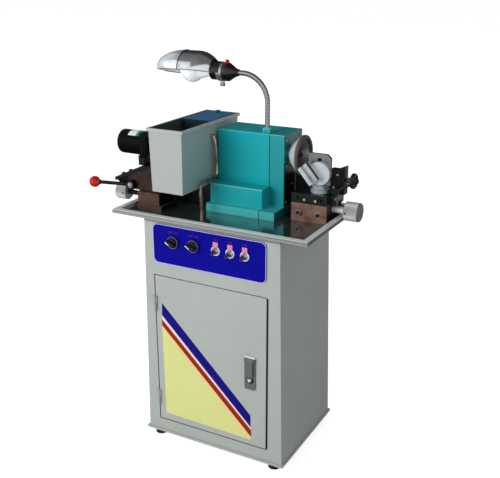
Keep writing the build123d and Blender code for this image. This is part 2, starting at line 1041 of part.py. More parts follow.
# Lamp
lamp_y = casing_front + lamp_back
neck_start_z = casing_top + lamp_foot_height
neck_turn_z = neck_start_z + neck_straight
lamp_z = neck_turn_z + neck_radius
neck_end_x = lamp_x - neck_radius - neck_end
neck_length = neck_straight + neck_radius * pi / 2 + neck_end


def neck_point(distance):
    if distance < neck_straight:
        return Plane(origin=(lamp_x, lamp_y, neck_start_z + distance), x_dir=back_way, z_dir=up_way)
    angle = (distance - neck_straight) / neck_radius
    if angle < pi / 2:
        spot = (
            lamp_x - neck_radius * (1 - cos(angle)),
            lamp_y,
            neck_turn_z + neck_radius * sin(angle),
        )
        return Plane(origin=spot, x_dir=back_way, z_dir=(-sin(angle), 0, cos(angle)))
    run = distance - neck_straight - neck_radius * pi / 2
    return Plane(origin=(lamp_x - neck_radius - run, lamp_y, lamp_z), x_dir=back_way, z_dir=left_way)


rib_pitch = neck_length / neck_ribs
neck_crest = neck_diameter / 2
neck_valley = neck_crest - neck_groove

with BuildPart() as lamp_foot:
    rod((lamp_x, lamp_y, casing_top), up_way, lamp_foot_diameter / 2, lamp_foot_height)
    chamfer(lamp_foot.faces().sort_by(Axis.Z)[-1].edges(), lamp_foot_height / 4)

with BuildPart() as gooseneck:
    for rib in range(neck_ribs):
        start = rib * rib_pitch
        for share, radius in ((0, neck_valley), (0.2, neck_crest), (0.6, neck_crest), (0.8, neck_valley)):
            with BuildSketch(neck_point(start + share * rib_pitch)):
                Circle(radius)
    with BuildSketch(neck_point(neck_length)):
        Circle(neck_valley)
    loft(ruled=True)
    with BuildLine(front_plane(lamp_y)) as neck_path:
        neck_up = Line((lamp_x, neck_start_z), (lamp_x, neck_turn_z))
        neck_arc = JernArc(neck_up @ 1, neck_up % 1, neck_radius, 90)
        Line(neck_arc @ 1, (neck_end_x, lamp_z))
    with BuildSketch(neck_point(0)):
        Circle(neck_bore / 2)
    sweep(path=neck_path.wire(), mode=Mode.SUBTRACT)

holder_right = neck_end_x
holder_left = holder_right - holder_length
collar_right = holder_right - holder_cone
switch_x = collar_right - holder_collar / 2
switch_top = lamp_z + holder_collar_radius
clamp_right = collar_right - holder_collar - slide_gap
clamp_left = clamp_right - clamp_width
clamp_x = (clamp_left + clamp_right) / 2
clamp_radius = holder_radius + clamp_wall
lamp_axis = Axis((0, lamp_y, lamp_z), right_way)

with BuildPart() as lamp_holder:
    tapered((holder_right, lamp_y, lamp_z), left_way, neck_crest, holder_collar_radius, holder_cone)
    rod((collar_right, lamp_y, lamp_z), left_way, holder_collar_radius, holder_collar)
    rod(
        (collar_right - holder_collar, lamp_y, lamp_z),
        left_way,
        holder_radius,
        holder_length - holder_cone - holder_collar,
    )
    rod((holder_left, lamp_y, lamp_z), right_way, socket_radius, socket_depth, Mode.SUBTRACT)
    rod(
        (switch_x, lamp_y, switch_top),
        down_way,
        switch_diameter / 2 + running_fit,
        switch_depth + switch_travel + slide_gap,
        Mode.SUBTRACT,
    )

with BuildPart() as lamp_switch:
    rod(
        (switch_x, lamp_y, switch_top + switch_proud),
        down_way,
        switch_diameter / 2,
        switch_proud + switch_depth,
    )
    fillet(lamp_switch.faces().sort_by(Axis.Z)[-1].edges(), switch_proud / 4)

with BuildPart() as shade_clamp:
    rod((clamp_left, lamp_y, lamp_z), right_way, clamp_radius, clamp_width)
    lug_low = lamp_z - clamp_radius - clamp_lug / 2
    block(
        (clamp_x - clamp_lug / 2, clamp_x + clamp_lug / 2),
        (lamp_y - clamp_lug / 2, lamp_y + clamp_lug / 2),
        (lug_low, lamp_z - holder_radius),
    )
    rod((clamp_left, lamp_y, lamp_z), right_way, holder_radius + running_fit, clamp_width, Mode.SUBTRACT)
    rod((clamp_x, lamp_y, lug_low), down_way, thumb_diameter / 2, thumb_drop)
    block(
        (clamp_x - thumb_wing / 2, clamp_x + thumb_wing / 2),
        (lamp_y - thumb_diameter / 2, lamp_y + thumb_diameter / 2),
        (lug_low - thumb_drop, lug_low - thumb_drop + thumb_wing_height),
    )

shoulder_right = clamp_left - hood_neck
barrel_right = shoulder_right - hood_shoulder
barrel_left = barrel_right - hood_barrel
hood_tip = barrel_left - hood_nose
hood_neck_radius = clamp_radius + slide_gap + hood_wall


def hood_body(inset, mode):
    radius = hood_radius - inset
    neck = hood_neck_radius - inset
    with BuildSketch(front_plane(lamp_y)) as profile:
        with BuildLine():
            Line((hood_tip + inset, lamp_z), (clamp_x, lamp_z))
            Line((clamp_x, lamp_z), (clamp_x, lamp_z + neck))
            Line((clamp_x, lamp_z + neck), (shoulder_right, lamp_z + neck))
            Spline(
                (shoulder_right, lamp_z + neck),
                (barrel_right, lamp_z + radius),
                tangents=[(-1, hood_flare), (-1, 0)],
            )
            Line((barrel_right, lamp_z + radius), (barrel_left, lamp_z + radius))
            EllipticalCenterArc((barrel_left, lamp_z), hood_nose - inset, radius, 90, arc_size=90)
        make_face()
    revolve(profile.sketch, axis=lamp_axis, mode=mode)


mouth_lean = radians(hood_turn)
mouth_plane = Plane(origin=(hood_tip, lamp_y, lamp_z), x_dir=right_way, z_dir=(0, sin(mouth_lean), cos(mouth_lean)))

with BuildPart() as lamp_hood:
    hood_body(0, Mode.ADD)
    hood_body(hood_wall, Mode.SUBTRACT)
    with Locations(mouth_plane.offset(-hood_skirt)):
        Box(
            clamp_right - hood_tip,
            2 * hood_radius,
            hood_radius,
            align=(Align.MIN, Align.CENTER, Align.MAX),
            mode=Mode.SUBTRACT,
        )

with BuildPart() as lamp_bulb:
    rod(
        (holder_left + socket_depth - slide_gap, lamp_y, lamp_z),
        left_way,
        bulb_cap_radius,
        socket_depth,
    )
    # The glass meets its globe where the globe is eight tenths of full width.
    tapered(
        (holder_left, lamp_y, lamp_z),
        left_way,
        bulb_cap_radius,
        0.8 * bulb_radius,
        bulb_neck - 0.6 * bulb_radius,
    )
    with Locations((holder_left - bulb_neck, lamp_y, lamp_z)):
        Sphere(bulb_radius)

# Left station
left_left = pan_left + left_margin
left_front = pan_front + sheet + left_base_back
left_y = left_front + left_base_depth / 2
left_base_top = tray_floor + left_base_height
left_riser_top = left_base_top + left_riser_height
left_screw_z = left_riser_top - feed_screw_drop
carriage_left = left_left - carriage_overhang
carriage_right = tank_left - carriage_clear
carriage_low = left_riser_top + slide_gap
carriage_top = carriage_low + carriage_height
carriage_front = left_y - carriage_depth / 2
left_knob_right = -tray_width / 2 - left_knob_clear
pivot_x = carriage_left + pivot_from_left
pivot_z = carriage_low + pivot_up
gear_right = carriage_right - gear_from_right
gear_left = gear_right - gear_length
gear_y = left_y - gear_forward
gear_low = carriage_top + bracket_height
gear_z = gear_low + gear_width / 2

with BuildPart() as left_riser:
    block(
        (left_left, left_left + left_base_width),
        (left_front, left_front + left_base_depth),
        (tray_floor, left_base_top),
    )
    block(
        (left_left, left_left + left_riser_width),
        (left_y - left_riser_depth / 2, left_y + left_riser_depth / 2),
        (left_base_top, left_riser_top),
    )
    block(
        (left_left, left_left + left_riser_width),
        (left_y - rail_width / 2, left_y + rail_width / 2),
        (left_riser_top, left_riser_top + rail_height),
    )
    rod(
        (left_left, left_y, left_screw_z),
        right_way,
        feed_shaft / 2 + running_fit,
        feed_shaft_grip + slide_gap,
        Mode.SUBTRACT,
    )

with BuildPart() as left_carriage:
    with BuildSketch(front_plane(carriage_front)):
        with BuildLine():
            arm_left = carriage_left - arm_reach
            arm_turn = carriage_right - arm_top_width
            arm_end = carriage_top - arm_drop
            arm_root = arm_end - arm_thickness + arm_drop * arm_reach / (arm_turn - arm_left)
            Polyline(
                (carriage_left, carriage_low),
                (carriage_right, carriage_low),
                (carriage_right, carriage_top),
                (arm_turn, carriage_top),
                (arm_left, arm_end),
                (arm_left, arm_end - arm_thickness),
                (carriage_left, arm_root),
                close=True,
            )
        make_face()
    extrude(amount=-carriage_depth)
    block(
        (gear_left, gear_left + bracket_width),
        (left_y - bracket_depth / 2, left_y + bracket_depth / 2),
        (carriage_top, gear_low),
    )
    block(
        (carriage_left, carriage_right),
        (left_y - rail_width / 2 - slide_gap, left_y + rail_width / 2 + slide_gap),
        (carriage_low, left_riser_top + rail_height + slide_gap),
        Mode.SUBTRACT,
    )
    rod(
        (pivot_x, carriage_front, pivot_z),
        back_way,
        lever_shaft / 2 + running_fit,
        lever_shaft_grip + slide_gap,
        Mode.SUBTRACT,
    )

with BuildPart() as left_feed_knob:
    rod((left_knob_right, left_y, left_screw_z), left_way, left_knob_diameter / 2, left_knob_length)
    chamfer(left_feed_knob.edges().filter_by(GeomType.CIRCLE), left_knob_length / 20)
    rod(
        (left_knob_right, left_y, left_screw_z),
        right_way,
        feed_shaft / 2,
        left_left + feed_shaft_grip - left_knob_right,
    )

hub_front = carriage_front - slide_gap - lever_hub_length
lever_y = hub_front + lever_hub_length / 2
dip = radians(lever_dip)
lever_way = (-cos(dip), 0, -sin(dip))
ball_reach = lever_reach - ball_diameter / 3
ball_x = pivot_x - lever_reach * cos(dip)
ball_z = pivot_z - lever_reach * sin(dip)

with BuildPart() as feed_lever:
    rod((pivot_x, hub_front, pivot_z), back_way, lever_hub / 2, lever_hub_length)
    rod(
        (pivot_x, hub_front, pivot_z),
        back_way,
        lever_shaft / 2,
        lever_hub_length + slide_gap + lever_shaft_grip,
    )
    rod((pivot_x, lever_y, pivot_z), lever_way, lever_rod / 2, ball_reach)

with BuildPart() as lever_ball:
    with Locations((ball_x, lever_y, ball_z)):
        Sphere(ball_diameter / 2)
    rod((pivot_x, lever_y, pivot_z), lever_way, lever_rod / 2, ball_reach, Mode.SUBTRACT)

with BuildPart() as gear_motor:
    block(
        (gear_left, gear_right),
        (gear_y - gear_width / 2, gear_y + gear_width / 2),
        (gear_low, gear_low + gear_width),
    )
    chamfer(gear_motor.edges().filter_by(Axis.X), gear_width / 12)
    rod((gear_left, gear_y, gear_z), left_way, can_diameter / 2, can_length)
    rod(
        (gear_right, gear_y, gear_z),
        left_way,
        arbor_diameter / 2 + running_fit,
        arbor_grip + slide_gap,
        Mode.SUBTRACT,
    )

with BuildPart() as work_arbor:
    rod((gear_right - arbor_grip, gear_y, gear_z), right_way, arbor_diameter / 2, arbor_grip + slide_gap)
    rod((gear_right + slide_gap, gear_y, gear_z), right_way, collet_diameter / 2, collet_length)
    chamfer(work_arbor.faces().sort_by(Axis.X)[-1].edges(), collet_diameter / 6)

# Right station
right_right = pan_right - right_margin
right_left = right_right - right_riser_width
right_x = (right_left + right_right) / 2
right_front = pan_front + sheet + right_riser_back
right_y = right_front + right_riser_depth / 2
right_riser_top = tray_floor + right_riser_height
right_screw_z = tray_floor + right_screw_up
slide_low = right_riser_top + slide_gap
slide_top = slide_low + slide_height
right_knob_left = tray_width / 2 + right_knob_clear

with BuildPart() as right_riser:
    block(
        (right_left, right_right),
        (right_front, right_front + right_riser_depth),
        (tray_floor, right_riser_top),
    )
    block(
        (right_left, right_right),
        (right_y - rail_width / 2, right_y + rail_width / 2),
        (right_riser_top, right_riser_top + rail_height),
    )
    with BuildSketch(front_plane(right_front)):
        with Locations((right_x, tray_floor + riser_bolt_up)):
            with GridLocations(riser_bolt_pitch, 0, 2, 1):
                Circle(riser_bolt_head / 2)
    extrude(amount=-riser_bolt_depth, mode=Mode.SUBTRACT)
    rod(
        (right_right, right_y, right_screw_z),
        left_way,
        right_shaft / 2 + running_fit,
        right_shaft_grip + slide_gap,
        Mode.SUBTRACT,
    )

table_x = right_x + table_shift
table_y = right_front + table_back

with BuildPart() as right_slide:
    block(
        (right_left, right_right),
        (right_front, right_front + right_riser_depth),
        (slide_low, slide_top),
    )
    block(
        (right_right, right_right + stop_thickness),
        (right_y - stop_width / 2, right_y + stop_width / 2),
        (slide_low, slide_top),
    )
    block(
        (right_left, right_right + stop_thickness),
        (right_y - rail_width / 2 - slide_gap, right_y + rail_width / 2 + slide_gap),
        (slide_low, right_riser_top + rail_height + slide_gap),
        Mode.SUBTRACT,
    )
    with BuildSketch(front_plane(right_front)):
        with Locations((right_x, (slide_low + slide_top) / 2)):
            with GridLocations(slot_pitch, 0, 2, 1):
                SlotOverall(slot_length, slot_height)
    extrude(amount=-slot_depth, mode=Mode.SUBTRACT)
    rod((table_x, table_y, slide_top), down_way, table_pin / 2 + running_fit, table_pin, Mode.SUBTRACT)

with BuildPart() as right_feed_knob:
    rod((right_knob_left, right_y, right_screw_z), right_way, right_knob_diameter / 2, right_knob_length)
    chamfer(right_feed_knob.edges().filter_by(GeomType.CIRCLE), right_knob_length / 26)
    rod(
        (right_knob_left, right_y, right_screw_z),
        left_way,
        right_shaft / 2,
        right_knob_left - right_right + right_shaft_grip,
    )

table_low = slide_top + slide_gap
table_top = table_low + 2 * table_height
plate_right = table_x + plate_width / 2
plate_front = table_y - plate_thickness
plate_top = table_top + plate_height
disc_x = table_x + disc_shift
disc_z = table_top + disc_up
disc_back = plate_front - slide_gap
disc_front = disc_back - disc_thickness

with BuildPart() as swivel_table:
    rod((table_x, table_y, table_low), up_way, table_radius, table_height)
    rod(
        (table_x, table_y, table_low + table_height),
        up_way,
        table_radius - table_step,
        table_height,
    )
    chamfer(swivel_table.edges().filter_by(GeomType.CIRCLE), table_height / 10)
    rod((table_x, table_y, table_low), down_way, table_pin / 2, table_pin - slide_gap)

with BuildPart() as angle_plate:
    block(
        (table_x - plate_width / 2, plate_right),
        (plate_front, table_y),
        (table_top, plate_top),
    )
    chamfer(
        angle_plate.edges().filter_by(Axis.Y).group_by(Axis.Z)[-1].sort_by(Axis.X)[-1],
        plate_chamfer,
    )
    rod((disc_x, plate_front, disc_z), back_way, disc_shaft / 2 + running_fit, plate_thickness, Mode.SUBTRACT)
    rod(
        (table_x, plate_front, plate_top - plate_hole_down),
        back_way,
        plate_hole / 2,
        plate_thickness,
        Mode.SUBTRACT,
    )

tilt = radians(vise_angle)
vise_plane = Plane(
    origin=(disc_x - vise_shift, disc_front, disc_z),
    x_dir=(cos(tilt), 0, -sin(tilt)),
    z_dir=front_way,
)
jaw_offset = (vise_width - vise_jaw_width) / 2

with BuildPart() as vise_head:
    rod((disc_x, disc_back, disc_z), front_way, disc_radius, disc_thickness)
    rod((disc_x, disc_back, disc_z), back_way, disc_shaft / 2, slide_gap + plate_thickness)
    with BuildSketch(vise_plane):
        Rectangle(vise_length, vise_width)
    extrude(amount=vise_base)
    with BuildSketch(vise_plane.offset(vise_base)):
        with Locations((0, -jaw_offset)):
            Rectangle(vise_length, vise_jaw_width)
    extrude(amount=vise_jaw_height)

with BuildPart() as vise_jaw:
    with BuildSketch(vise_plane.offset(vise_base + slide_gap)):
        with Locations((0, jaw_offset)):
            Rectangle(vise_length, vise_jaw_width)
    extrude(amount=vise_jaw_height)
    chamfer(vise_jaw.faces().sort_by(Axis.Y)[0].edges(), vise_jaw_width / 9)

index_left = plate_right
index_right = index_left + index_width
index_low = table_top - index_drop
index_top = index_low + index_height
index_y = plate_front + index_depth / 2
index_knob_z = index_low + index_knob_up
index_hub_x = index_left + index_hub_in
index_hub_z = index_low + index_hub_up
swing = radians(index_lever_angle)
index_way = (cos(swing), 0, sin(swing))
index_hub_front = plate_front - slide_gap - index_hub_length
index_lever_y = index_hub_front + index_rod_in

with BuildPart() as index_bracket:
    with BuildSketch(front_plane(plate_front)):
        with BuildLine():
            Polyline(
                (index_left, index_low),
                (index_right, index_low),
                (index_right, index_top),
                (index_left + index_shoulder, index_top - index_slope),
                (index_left, index_top - index_slope),
                close=True,
            )
        make_face()
    extrude(amount=-index_depth)
    rod(
        (index_right, index_y, index_knob_z),
        left_way,
        index_neck / 2 + running_fit,
        index_grip + slide_gap,
        Mode.SUBTRACT,
    )
    rod(
        (index_hub_x, plate_front, index_hub_z),
        back_way,
        index_lever_pin / 2 + running_fit,
        index_grip + slide_gap,
        Mode.SUBTRACT,
    )

with BuildPart() as index_knob:
    index_knob_left = index_right + index_neck_length
    rod((index_knob_left, index_y, index_knob_z), right_way, index_knob_diameter / 2, index_knob_length)
    fillet(index_knob.edges().filter_by(GeomType.CIRCLE), index_knob_length / 8)
    rod(
        (index_knob_left, index_y, index_knob_z),
        left_way,
        index_neck / 2,
        index_neck_length + index_grip,
    )

with BuildPart() as index_lever:
    rod((index_hub_x, index_hub_front, index_hub_z), back_way, index_hub / 2, index_hub_length)
    rod(
        (index_hub_x, index_hub_front, index_hub_z),
        back_way,
        index_lever_pin / 2,
        index_hub_length + slide_gap + index_grip,
    )
    rod((index_hub_x, index_lever_y, index_hub_z), index_way, index_lever_rod / 2, index_lever_reach)
    with Locations(
        Plane(origin=(index_hub_x, index_lever_y, index_hub_z), z_dir=index_way).offset(index_lever_reach)
    ):
        Sphere(index_ball / 2)

# The origin moves to the floor under the middle of the machine.
left_reach = ball_x - ball_diameter / 2
right_reach = max(
    right_knob_left + right_knob_length,
    index_hub_x + index_lever_reach * cos(swing) + index_ball / 2,
)
front_reach = min(
    tray_shift - tray_depth / 2,
    toggle_pivot_y - toggle_length * cos(lean) - toggle_tip,
)
back_reach = rear_y + base_lip
row_origin = Location((-(left_reach + right_reach) / 2, -(front_reach + back_reach) / 2, 0))

pieces = {
    "rubber_feet": rubber_feet,
    "base_plate": base_plate,
    "cabinet_wrap": cabinet_wrap,
    "cable_gland": cable_gland,
    "cabinet_front": cabinet_front,
    "control_panel": control_panel,
    "selector_bezels": selector_bezels,
    "selector_knob_left": selector_knobs[0],
    "selector_knob_right": selector_knobs[1],
    "toggle_bushings": toggle_bushings,
    "toggle_lever_left": toggle_levers[0],
    "toggle_lever_middle": toggle_levers[1],
    "toggle_lever_right": toggle_levers[2],
    "door_panel": door_panel,
    "hinge_frame_halves": hinge_frame_halves,
    "hinge_door_halves": hinge_door_halves,
    "lock_plate": lock_plate,
    "lock_handle": lock_handle,
    "lock_button": lock_button,
    "drip_tray": drip_tray,
    "headstock_base": headstock_base,
    "headstock_casing": headstock_casing,
    "bearing_stand": bearing_stand,
    "spindle_bearings": spindle_bearings,
    "spindle": spindle,
    "spindle_pulley": spindle_pulley,
    "motor_pulley": motor_pulley,
    "drive_belt": drive_belt,
    "main_motor": main_motor,
    "cup_wheel_body": cup_wheel_body,
    "cup_wheel_rim": cup_wheel_rim,
    "wheel_screw": wheel_screw,
    "coolant_tank": coolant_tank,
    "coolant_pump": coolant_pump,
    "tank_support": tank_support,
    "coolant_pipe": coolant_pipe,
    "lamp_foot": lamp_foot,
    "gooseneck": gooseneck,
    "lamp_holder": lamp_holder,
    "lamp_switch": lamp_switch,
    "shade_clamp": shade_clamp,
    "lamp_hood": lamp_hood,
    "lamp_bulb": lamp_bulb,
    "left_riser": left_riser,
    "left_carriage": left_carriage,
    "left_feed_knob": left_feed_knob,
    "feed_lever": feed_lever,
    "lever_ball": lever_ball,
    "gear_motor": gear_motor,
    "work_arbor": work_arbor,
    "right_riser": right_riser,
    "right_slide": right_slide,
    "right_feed_knob": right_feed_knob,
    "swivel_table": swivel_table,
    "angle_plate": angle_plate,
    "vise_head": vise_head,
    "vise_jaw": vise_jaw,
    "index_bracket": index_bracket,
    "index_knob": index_knob,
    "index_lever": index_lever,
}

for name, piece in pieces.items():
    piece.part.label = name
    export_step(piece.part.moved(row_origin), f"parts/{name}.step")
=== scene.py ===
import math

import bmesh
import bpy
from mathutils import Matrix, Vector


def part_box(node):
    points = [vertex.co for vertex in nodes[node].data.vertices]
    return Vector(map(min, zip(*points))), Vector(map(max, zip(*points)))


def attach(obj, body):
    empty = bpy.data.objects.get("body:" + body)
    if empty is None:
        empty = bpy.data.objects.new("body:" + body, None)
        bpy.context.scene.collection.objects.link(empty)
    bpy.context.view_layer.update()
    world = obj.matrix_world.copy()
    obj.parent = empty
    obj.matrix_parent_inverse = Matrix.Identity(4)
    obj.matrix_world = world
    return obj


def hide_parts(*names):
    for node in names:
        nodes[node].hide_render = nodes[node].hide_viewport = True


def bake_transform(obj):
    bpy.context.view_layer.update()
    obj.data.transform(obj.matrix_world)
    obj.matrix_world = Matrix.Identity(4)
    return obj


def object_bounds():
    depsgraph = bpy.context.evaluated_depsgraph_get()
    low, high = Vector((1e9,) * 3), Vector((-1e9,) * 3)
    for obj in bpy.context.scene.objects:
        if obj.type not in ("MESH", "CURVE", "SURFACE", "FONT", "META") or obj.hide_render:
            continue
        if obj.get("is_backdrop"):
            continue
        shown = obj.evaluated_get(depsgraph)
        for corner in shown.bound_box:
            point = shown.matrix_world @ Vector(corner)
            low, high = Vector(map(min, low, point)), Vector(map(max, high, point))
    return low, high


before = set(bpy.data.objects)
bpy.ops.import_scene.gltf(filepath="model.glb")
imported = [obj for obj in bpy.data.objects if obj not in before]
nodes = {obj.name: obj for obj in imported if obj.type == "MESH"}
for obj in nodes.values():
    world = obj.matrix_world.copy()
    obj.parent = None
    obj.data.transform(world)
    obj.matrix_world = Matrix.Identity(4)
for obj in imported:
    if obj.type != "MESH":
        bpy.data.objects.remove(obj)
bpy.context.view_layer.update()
scene = bpy.context.scene
plateLow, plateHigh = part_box("base_plate")
middle = (plateLow + plateHigh) / 2  # the cabinet's own middle, seen from above
plateTop = 15  # the base plate's top among the cabinet's heights
forward, rightward, leftward, upward, downward = (0, -1, 0), (1, 0, 0), (-1, 0, 0), (0, 0, 1), (0, 0, -1)


def at(x, y, z):  # cabinet millimetres to the frame's metres
    return Vector((middle.x + x / 1000, middle.y + y / 1000, plateHigh.z + (z - plateTop) / 1000))


def level(z):
    return at(0, 0, z).z


def ahead(depth):  # a push towards the front
    return Vector((0, -depth / 1000, 0))


def even(first, last, count):  # count equal steps from first to last
    return [first + (last - first) * i / count for i in range(count + 1)]


def arc(first, last, count):  # degrees to radians
    return [math.radians(turn) for turn in even(first, last, count)]


def circle(radius, turns):
    return [(radius * math.cos(turn), radius * math.sin(turn)) for turn in turns]


def tint(red, green, blue):  # screen colour, 0 to 255, to a shader colour
    def line(value):
        value /= 255
        return value / 12.92 if value <= 0.04045 else ((value + 0.055) / 1.055) ** 2.4
    return (line(red), line(green), line(blue), 1.0)


def shade(colour, amount):
    return (*(min(1.0, value * amount) for value in colour[:3]), 1.0)


class Wire:  # a socket that takes part in sums
    def __init__(self, web, socket):
        self.web, self.socket = web, socket

    def sum(self, kind, first, second=0.0):
        return self.web.add("ShaderNodeMath", {"operation": kind}, {0: first, 1: second})

    def __add__(self, other):
        return self.sum("ADD", self, other)

    def __radd__(self, other):
        return self.sum("ADD", other, self)

    def __sub__(self, other):
        return self.sum("SUBTRACT", self, other)

    def __rsub__(self, other):
        return self.sum("SUBTRACT", other, self)

    def __mul__(self, other):
        return self.sum("MULTIPLY", self, other)

    def __gt__(self, other):
        return self.sum("GREATER_THAN", self, other)

    def __lt__(self, other):
        return self.sum("LESS_THAN", self, other)

    def __abs__(self):
        return self.sum("ABSOLUTE", self)

    def most(self, other):
        return self.sum("MAXIMUM", self, other)


class Web:  # a node tree, and the one way that nodes are made in it
    def __init__(self, tree):
        self.tree = tree

    def add(self, kind, settings=None, sockets=None, out=0):
        node = self.tree.nodes.new(kind)
        for key, value in (settings or {}).items():
            setattr(node, key, value)
        for key, value in (sockets or {}).items():
            self.put(node, key, value)
        return Wire(self, node.outputs[out])

    def put(self, node, key, value):  # a wire or a plain value into a socket
        if isinstance(value, Wire):
            self.tree.links.new(value.socket, node.inputs[key])
        else:
            node.inputs[key].default_value = value

    def band(self, value, low, high, first=0.0, last=1.0):  # smooth step from first at low to last at high
        settings = {"interpolation_type": "SMOOTHSTEP"}
        return self.add("ShaderNodeMapRange", settings, {"Value": value, 1: low, 2: high, 3: first, 4: last})

    def dot(self, first, second):
        return self.add("ShaderNodeVectorMath", {"operation": "DOT_PRODUCT"}, {0: first, 1: second}, 1)

    def split(self, vector, letter):
        return self.add("ShaderNodeSeparateXYZ", None, {0: vector}, "XYZ".index(letter))


class Finish(Web):
    def __init__(self, name, **plain):
        self.material = bpy.data.materials.new(name)
        self.material.use_nodes = True
        super().__init__(self.material.node_tree)
        self.surface = self.tree.nodes["Principled BSDF"]
        for key, value in plain.items():
            self.feed(key.replace("_", " "), value)
        self.where = self.add("ShaderNodeTexCoord", out=3)

    def feed(self, socket, value):
        self.put(self.surface, socket, value)

    def grain(self, scale, detail=3.0, stretch=None):
        place = self.where
        if stretch:
            place = self.add("ShaderNodeMapping", None, {"Vector": place, "Scale": stretch})
        return self.add("ShaderNodeTexNoise", None, {"Vector": place, "Scale": scale, "Detail": detail})

    def mix(self, mask, first, second):
        return self.add("ShaderNodeMix", {"data_type": "RGBA"}, {0: mask, 6: first, 7: second}, 2)

    def axis(self, letter):
        return self.split(self.where, letter)

    def outlook(self):  # the way that the surface looks
        return self.add("ShaderNodeTexCoord", out=1)

    def facing(self, way):  # 1 where the surface looks along way
        return self.band(self.dot(self.outlook(), way), 0.6, 0.9)

    def paintSideLight(self, look, colour):  # painted light and shade: a side that looks along a given way is painted lighter or darker
        for way, other in look.get("litAndShadedSides", ()):
            colour = self.mix(self.facing(way), colour, other)
        return colour

    def rims(self):  # 1 on broken edges, where the surface looks along no axis
        x, y, z = (abs(self.split(self.outlook(), letter)) for letter in "XYZ")
        return 1 - self.band(x.most(y.most(z)), 0.8, 0.97)

    def done(self, colour, rough, height, depth, metal=0.0):  # depth of the dents in micrometres
        bump = {"Strength": 1.0, "Distance": depth / 1e6, "Height": height}
        self.feed("Base Color", colour)
        self.feed("Roughness", rough)
        self.feed("Metallic", metal)
        self.feed("Normal", self.add("ShaderNodeBump", None, bump))
        return self


# Paints: an uneven coat with orange peel, and a few handling marks that dull it
enamel = dict(rough=0.36, peel=340, depth=160)
film = dict(rough=0.42, peel=900, depth=30, coat=0.0)
paints = {
    # trayShadow: a painted shadow band on the cabinet under the tray's edge
    "greyPaint": dict(colour=tint(172, 178, 174), rough=0.42, peel=520, depth=120, coat=0.15,
                      trayShadow=(576, 582, 592)),
    # standEnamel, casingEnamel and baseEnamel are one teal enamel in three tones set apart as painted light
    # and shade; rim is a painted edge highlight, low a lighter foot as painted light, and the stand's right
    # side is painted shade
    "standEnamel": dict(enamel, colour=tint(20, 148, 152), coat=0.15, shine=0.35, rim=tint(124, 206, 208),
                        low=(tint(66, 172, 174), 611.5), litAndShadedSides=[(rightward, tint(6, 98, 100))]),
    "casingEnamel": dict(enamel, colour=tint(6, 164, 172), coat=0.1, shine=0.25, rim=tint(112, 204, 206)),
    "baseEnamel": dict(enamel, colour=tint(24, 164, 172), coat=0.12, shine=0.3, rim=tint(136, 214, 216),
                       low=(tint(66, 176, 178), 611.5)),
    "panelPaint": dict(colour=tint(10, 8, 142), rough=0.5, peel=700, depth=40, coat=0.0, shine=0.06),
    # painted shade on the pump's front face, inside the tank
    "pumpPaint": dict(colour=tint(40, 116, 166), rough=0.42, peel=420, depth=120, coat=0.1,
                      litAndShadedSides=[(forward, tint(20, 36, 46))]),
    "motorPaint": dict(colour=tint(46, 58, 66), rough=0.45, peel=420, depth=200, coat=0.1),
    "blackPaint": dict(colour=tint(8, 10, 11), rough=0.3, peel=460, depth=100, coat=0.2, shine=0.4),
    "canBlack": dict(colour=tint(4, 7, 8), rough=0.4, peel=460, depth=100, coat=0.0, shine=0.08),
    # black of the headstock seam, and of the sheets put in as painted shade
    "guardBlack": dict(colour=tint(9, 11, 12), rough=0.46, peel=420, depth=120, coat=0.1, shine=0.3),
    # painted light: the hem's top is painted lighter
    "hemSheet": dict(colour=tint(190, 196, 192), rough=0.36, peel=520, depth=100, coat=0.1,
                     litAndShadedSides=[(upward, tint(224, 230, 226))]),
    # painted shade: the tray hem's outer walls, darker on the right side and lighter low down
    "hemWall": dict(colour=tint(126, 131, 127), rough=0.42, peel=520, depth=100, coat=0.1,
                    low=(tint(146, 151, 146), 597.6), litAndShadedSides=[(rightward, tint(84, 90, 85))]),
    "whiteEnamel": dict(colour=tint(236, 238, 240), rough=0.3, peel=500, depth=60, coat=0.2),
    "blueFilm": dict(film, colour=tint(18, 12, 124), rough=0.4, shine=0.15),
    "whiteFilm": dict(film, colour=tint(240, 208, 206), rough=0.4),
    "redFilm": dict(film, colour=tint(146, 42, 14), rough=0.4, shine=0.15),
    "yellowFilm": dict(film, colour=tint(216, 219, 141)),
    "salmonFilm": dict(film, colour=tint(248, 198, 146)),
    "lilacFilm": dict(film, colour=tint(200, 194, 240)),
    "pinkFilm": dict(film, colour=tint(222, 136, 158), rough=0.4),
    "redInk": dict(film, colour=tint(116, 10, 62), rough=0.45),
    "greenFilm": dict(film, colour=tint(40, 140, 96)),
}


def coatPaint(name, look):
    shine = look.get("shine", 0.5)
    paint = Finish(name, Coat_Weight=look["coat"], Coat_Roughness=0.18, Specular_IOR_Level=shine)
    slow = paint.grain(11, 3)
    marks = paint.band(paint.grain(38, 6), 0.52, 0.78)
    body = paint.mix(slow, shade(look["colour"], 0.93), shade(look["colour"], 1.06))
    if "trayShadow" in look:  # painted shadow in a band under the tray's edge
        start, full, end = (level(z) for z in look["trayShadow"])
        height = paint.axis("Z")
        body = paint.mix(paint.band(height, start, full) * (height < end), body, shade(look["colour"], 0.5))
    if "low" in look:  # painted light: the lower part is painted lighter than the rest
        colour, limit = look["low"]
        body = paint.mix(paint.axis("Z") < level(limit), body, colour)
    if "rim" in look:  # painted highlight along the broken edges
        body = paint.mix(paint.rims() * 0.75, body, look["rim"])
    rough = look["rough"] + marks * 0.1 + slow * 0.05
    peel = paint.grain(look["peel"], 2) + paint.grain(look["peel"] / 9, 2) * 0.6
    return paint.done(paint.paintSideLight(look, body), rough, peel, look["depth"])


